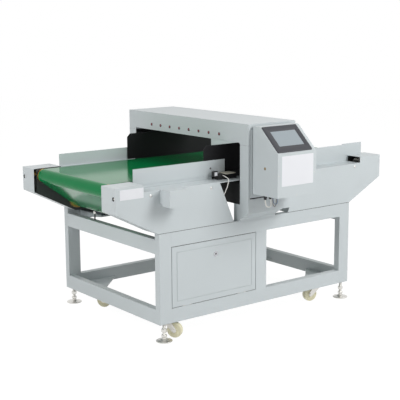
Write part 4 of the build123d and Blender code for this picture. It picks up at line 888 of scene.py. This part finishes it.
def gland_nut():
    """The radius ripples with the cosine of the rib count times the angle, and fades to the round mouth."""
    angle = round_angles(72)[None]
    height = np.array([0.0, 0.0005, 0.0060, 0.0085, 0.0098, 0.0098, 0.0070])[:, None]
    radius = np.array([0.0066, 0.0070, 0.0069, 0.0062, 0.0050, 0.0040, 0.0038])[:, None]
    ripple = np.array([1.0, 1.0, 1.0, 0.4, 0.0, 0.0, 0.0])[:, None] * GLAND_RIPPLE
    return loft(rings_about_z(radius + ripple * np.cos(GLAND_RIBS * angle), height, angle))


def cable_gland():
    """A hexagon on a flat collar, then the ribbed nut."""
    collar = lathe([(COLLAR_RADIUS, 0), (COLLAR_RADIUS, COLLAR_SIDE), (GLAND_FLAT, COLLAR_TOP)], 32)
    hexagon_part = hex_nut(GLAND_FLAT, COLLAR_TOP, GLAND_STEP)
    return join(collar, hexagon_part, stand(gland_nut(), (0, 0, GLAND_STEP)))


gland_x = (glands_low.x + GLAND_RADIUS, glands_high.x - GLAND_RADIUS)
glands = [stand(cable_gland(), (x, gland_y, glands_high.z), DOWN) for x in gland_x]
settle("ribbed_glands", join(*glands), rubber_and_shade_black, replaced=["cable_glands"])
print("glands at", [round(x, 3) for x in gland_x])

# %% [markdown]
# ## Sensor head
# At the near end of the belt sensor stands a black head with a white reflector square on its front.

# %% Sensor head
HEAD_SPAN, HEAD_DEPTH, HEAD_LIFT, HEAD_RISE = (-0.2575, -0.232), 0.020, 0.017, 0.027
HEAD_CORNER, HEAD_SOFT = 0.003, 0.0015
SQUARE_WIDTH, SQUARE_HEIGHT, SQUARE_THICKNESS, SQUARE_CORNER = 0.0175, 0.018, 0.0006, 0.001
sensor_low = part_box("belt_sensor")[0]
head_shape = slab(HEAD_SPAN[1] - HEAD_SPAN[0], HEAD_DEPTH, HEAD_RISE, HEAD_CORNER, HEAD_SOFT)
head_middle = (HEAD_SPAN[0] + HEAD_SPAN[1]) / 2
settle(
    "sensor_head",
    stand(head_shape, (head_middle, sensor_low.y + HEAD_DEPTH / 2, sensor_low.z + HEAD_LIFT)),
    rubber_and_shade_black,
)
white_square = slab(SQUARE_WIDTH, SQUARE_HEIGHT, SQUARE_THICKNESS, SQUARE_CORNER, SQUARE_THICKNESS)
square_place = (head_middle, sensor_low.y, sensor_low.z + HEAD_LIFT + HEAD_RISE / 2)
settle("reflector", stand(white_square, square_place, TO_FRONT), paper_white)
print("sensor head at", round(head_middle, 3))

# %% [markdown]
# ## Inside the cabinet
# Behind the door a steel plate carries three slotted cable ducts and two rails with devices. A duct is a lid
# over two combs of fingers. Every device has a stepped side view, stretched to its size and cut into slices:
# three poles in the switch, many narrow ones in a terminal row. A device's row gives its width, height, depth
# and slices, the nose's share of the height and the step's share of the depth.

# %% Inside the cabinet
PLATE_THICKNESS, DUCT_HEIGHT, DUCT_DEPTH, RAIL_DEPTH = 0.003, 0.026, 0.030, 0.007
FINGER_PITCH, FINGER_WIDTH, DUCT_WALL = 0.0125, 0.0085, 0.0015
ROW_SHARE, DEVICE_GAP, SLICE_GAP, NOSE_SLOPE = 0.25, 0.010, 0.0004, 0.03
RAIL_SHEET, RAIL_WEB, RAIL_HALF = 0.001, 0.0125, 0.0175
TERMINAL_SCREW = [(0.0022, 0), (0.0022, 0.0004), (0.0016, 0.0009)]
UPPER_DEVICES = [
    (0.054, 0.080, 0.042, 3, 0.55, 0.65),
    (0.045, 0.076, 0.048, 1, 0.50, 0.60),
    (0.045, 0.076, 0.048, 1, 0.50, 0.60),
    (0.120, 0.072, 0.024, 20, 0.30, 0.75),
]
LOWER_DEVICES = [
    (0.110, 0.084, 0.044, 1, 0.70, 0.80),
    (0.072, 0.084, 0.040, 2, 0.66, 0.70),
    (0.140, 0.060, 0.026, 20, 0.30, 0.75),
]


def bars(low, high):
    """Boxes: each corner takes the low or the high value of each axis."""
    low, high = np.atleast_2d(low)[:, None], np.atleast_2d(high)[:, None]
    flat = np.array([[0, 0, 0], [1, 0, 0], [1, 1, 0], [0, 1, 0]])
    pick = np.concatenate([flat, flat + (0, 0, 1)])
    sides = np.array([[0, 3, 2, 1], [4, 5, 6, 7], [0, 1, 5, 4], [1, 2, 6, 5], [2, 3, 7, 6], [3, 0, 4, 7]])
    faces = np.arange(len(low))[:, None, None] * 8 + sides
    return (low + (high - low) * pick).reshape(-1, 3), [faces.reshape(-1, 4)]


def prism(outline, start, length):
    """An outline of depth and height carried along X."""
    ends = [np.column_stack([np.full(len(outline), x), outline]) for x in (start, start + length)]
    return loft(np.stack(ends))


def duct(x0, x1, face, z):
    """A floor and a lid with two combs of fingers between them, one finger for each pitch."""
    low, high, front = z, z + DUCT_HEIGHT, face - DUCT_DEPTH
    lid_back = front + 3 * DUCT_WALL
    plates = bars([(x0, face - DUCT_WALL, low), (x0, front, low)], [(x1, face, high), (x1, lid_back, high)])
    left = np.arange(x0, x1 - FINGER_WIDTH, FINGER_PITCH)
    level = np.array([low, high - DUCT_WALL])
    x, z = (a.ravel() for a in np.meshgrid(left, level))
    fingers_low = np.column_stack([x, np.full(len(x), lid_back), z])
    finger_size = (FINGER_WIDTH, DUCT_DEPTH - 4 * DUCT_WALL, DUCT_WALL)
    return join(plates, bars(fingers_low, fingers_low + finger_size))


def mounting_rail(face, z):
    """A flat web on the plate, two sides and a flange at the front of each."""
    front, side = face - RAIL_DEPTH, RAIL_WEB + RAIL_SHEET
    flange = [(front + RAIL_SHEET, side), (front + RAIL_SHEET, RAIL_HALF), (front, RAIL_HALF)]
    outline = np.array([(face, side), *flange, (front, RAIL_WEB), (face - RAIL_SHEET, RAIL_WEB)])
    return np.concatenate([outline, outline[::-1] * (1, -1)]) + (0, z)


def device_slices(left, z, face, device):
    """Stepped outlines side by side, and a place for a screw on each shoulder."""
    width, height, depth, slices, nose, step = device
    upper = [(0, 0.5), (step, 0.5), (step, nose / 2 + NOSE_SLOPE), (1, nose / 2)]
    shares = np.array([*upper, *[(y, -z) for y, z in upper[::-1]]])
    outline = shares * (-depth, height) + (face, z)
    pitch = width / slices
    lefts = left + pitch * np.arange(slices)
    shoulder = height * (nose / 2 + NOSE_SLOPE + 0.5) / 2
    middles = lefts + pitch / 2
    places = [(x, face - depth * step, z + side * shoulder) for x in middles for side in (-1, 1)]
    return [prism(outline, x, pitch - SLICE_GAP) for x in lefts], places


inner_low, inner_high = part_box("cabinet_components")
plate_face = inner_high.y - PLATE_THICKNESS
inner_middle = (inner_low.z + inner_high.z) / 2
row_offset = (inner_high.z - inner_low.z) * ROW_SHARE
back_plate = bars((inner_low.x, plate_face, inner_low.z), inner_high)
duct_levels = (inner_low.z, inner_middle - DUCT_HEIGHT / 2, inner_high.z - DUCT_HEIGHT)
ducts = [duct(inner_low.x, inner_high.x, plate_face, z) for z in duct_levels]
rails, bodies, screw_places = [], [], []
for devices, z in ((UPPER_DEVICES, inner_middle + row_offset), (LOWER_DEVICES, inner_middle - row_offset)):
    left = inner_low.x + DUCT_HEIGHT
    rail_end = inner_high.x - DUCT_HEIGHT
    rails.append(prism(mounting_rail(plate_face, z), left, rail_end - left))
    for device in devices:
        slices, places = device_slices(left + DEVICE_GAP, z, plate_face - RAIL_DEPTH, device)
        bodies += slices
        screw_places += places
        left += DEVICE_GAP + device[0]
terminal_screws = [stand(lathe(TERMINAL_SCREW, 12), place, TO_FRONT) for place in screw_places]
settle("cabinet_plate", join(back_plate, *rails), bed_steel, replaced=["cabinet_components"])
settle("cable_ducts", join(*ducts), duct_grey, smooth=False)
settle("rail_devices", join(*bodies), device_grey, smooth=False)
settle("terminal_screws", join(*terminal_screws), dark_bolt)
print("device slices", len(bodies))

# %% [markdown]
# ## The gearmotor
# The motor's ribs run along it: the radius follows a cosine wave round the turn that is cut off flat at its
# top and bottom. Its fan cowl has ring shaped vents, where the end face rises and falls with the radius.
# The gearbox is a stack of rounded squares that steps in at the joint of its two halves.

# %% The gearmotor
MOTOR_X, MOTOR_Z = -0.486, 0.565
MOTOR_START, MOTOR_END, GEARBOX_END = 0.085, 0.295, 0.383
RIB_COUNT, RIB_DEPTH, RIB_RADIUS, RIB_STEEPNESS, RIB_END = 30, 0.007, 0.056, 1.8, 0.002
COWL_LENGTH, COWL_RADIUS, COWL_RIM, COWL_FLAT = 0.040, 0.058, 0.005, 0.002
VENT_PITCH, VENT_DEPTH, VENT_START = 0.007, 0.0015, 0.005
GEARBOX_SIZE, GEARBOX_CORNER, FOOT_HEIGHT, FOOT_WIDTH = 0.106, 0.010, 0.004, 0.02
BORE_RADIUS, BORE_DEPTH, BORE_ROUNDNESS = 0.01005, 0.04, 0.98
TERMINAL_BOX, TERMINAL_TOP, TERMINAL_CORNER, OVERLAP = 0.070, 0.647, 0.006, 0.001


def ribbed_tube(length):
    """The outer radius less the rib depth times half of one less a clipped cosine."""
    angle = round_angles(12 * RIB_COUNT)[None]
    wave = np.clip(RIB_STEEPNESS * np.cos(RIB_COUNT * angle), -1, 1)
    height = np.array([0.0, RIB_END, length - RIB_END, length])[:, None]
    share = np.array([0.0, 1.0, 1.0, 0.0])[:, None]
    return loft(rings_about_z(RIB_RADIUS - RIB_DEPTH * (1 - share * (1 + wave) / 2), height, angle))


def fan_cowl():
    """A cup with a rounded rim. Its end waves with the cosine of the radius over the vents' pitch."""
    turn = np.linspace(0, np.pi / 2, 6)
    rim_radius = COWL_RADIUS - COWL_RIM * (1 - np.cos(turn))
    rim_height = COWL_LENGTH - COWL_RIM * (1 - np.sin(turn))
    radius = np.linspace(COWL_RADIUS - COWL_RIM - COWL_FLAT, VENT_START, 56)
    height = COWL_LENGTH - VENT_DEPTH * (1 - np.cos(2 * np.pi * radius / VENT_PITCH))
    foot = [(COWL_RADIUS - COWL_FLAT, 0), (COWL_RADIUS, OVERLAP)]
    return lathe([*foot, *zip(rim_radius, rim_height), *zip(radius, height)], 64)


def gearbox():
    """Rounded squares from the motor's flange to the output face, then down into the shaft's bore."""
    depth = GEARBOX_END - MOTOR_END
    insets = np.array([0.002, 0.0, 0.0, 0.0015, 0.0015, 0.0, 0.0, 0.002])
    levels = np.array([0.0, 0.002, 0.040, 0.0415, 0.0435, 0.045, depth - 0.002, depth])
    sizes = GEARBOX_SIZE - 2 * insets
    squares = [rounded_rectangle(s, s, GEARBOX_CORNER - i) for s, i in zip(sizes, insets)]
    bore = rounded_rectangle(2 * BORE_RADIUS, 2 * BORE_RADIUS, BORE_ROUNDNESS * BORE_RADIUS)
    return loft(raised([*squares, bore, bore], [*levels, depth, depth - BORE_DEPTH]))


def terminal_box():
    """A box whose lid stands a little proud above a groove."""
    height = TERMINAL_TOP - MOTOR_Z
    sizes = TERMINAL_BOX - 2 * np.array([0.001, 0.001, 0.0022, 0.0022, 0.0, 0.0, 0.002])
    levels = [0.0, *(height - np.array([0.010, 0.010, 0.009, 0.008, 0.002, 0.0]))]
    return loft(raised([rounded_rectangle(s, s, TERMINAL_CORNER) for s in sizes], levels))


half_box = GEARBOX_SIZE / 2
foot_top = MOTOR_Z - half_box + GEARBOX_CORNER
foot_low = [(MOTOR_X - half_box, MOTOR_END, MOTOR_Z - half_box - FOOT_HEIGHT)]
foot_low.append((MOTOR_X + half_box - FOOT_WIDTH, MOTOR_END, foot_low[0][2]))
foot_high = [(x + FOOT_WIDTH, GEARBOX_END, foot_top) for x, _, _ in foot_low]
tube_start = MOTOR_START + COWL_LENGTH
gearmotor = join(
    stand(ribbed_tube(MOTOR_END - tube_start + OVERLAP), (MOTOR_X, tube_start - OVERLAP, MOTOR_Z), TO_REAR),
    stand(fan_cowl(), (MOTOR_X, tube_start, MOTOR_Z), TO_FRONT),
    stand(gearbox(), (MOTOR_X, MOTOR_END, MOTOR_Z), TO_REAR),
    stand(terminal_box(), (MOTOR_X, (MOTOR_START + MOTOR_END) / 2, MOTOR_Z)),
    bars(foot_low, foot_high),
)
settle("ribbed_gearmotor", gearmotor, motor_coat, replaced=["gearmotor"])
print("gearmotor points", len(gearmotor[0]))
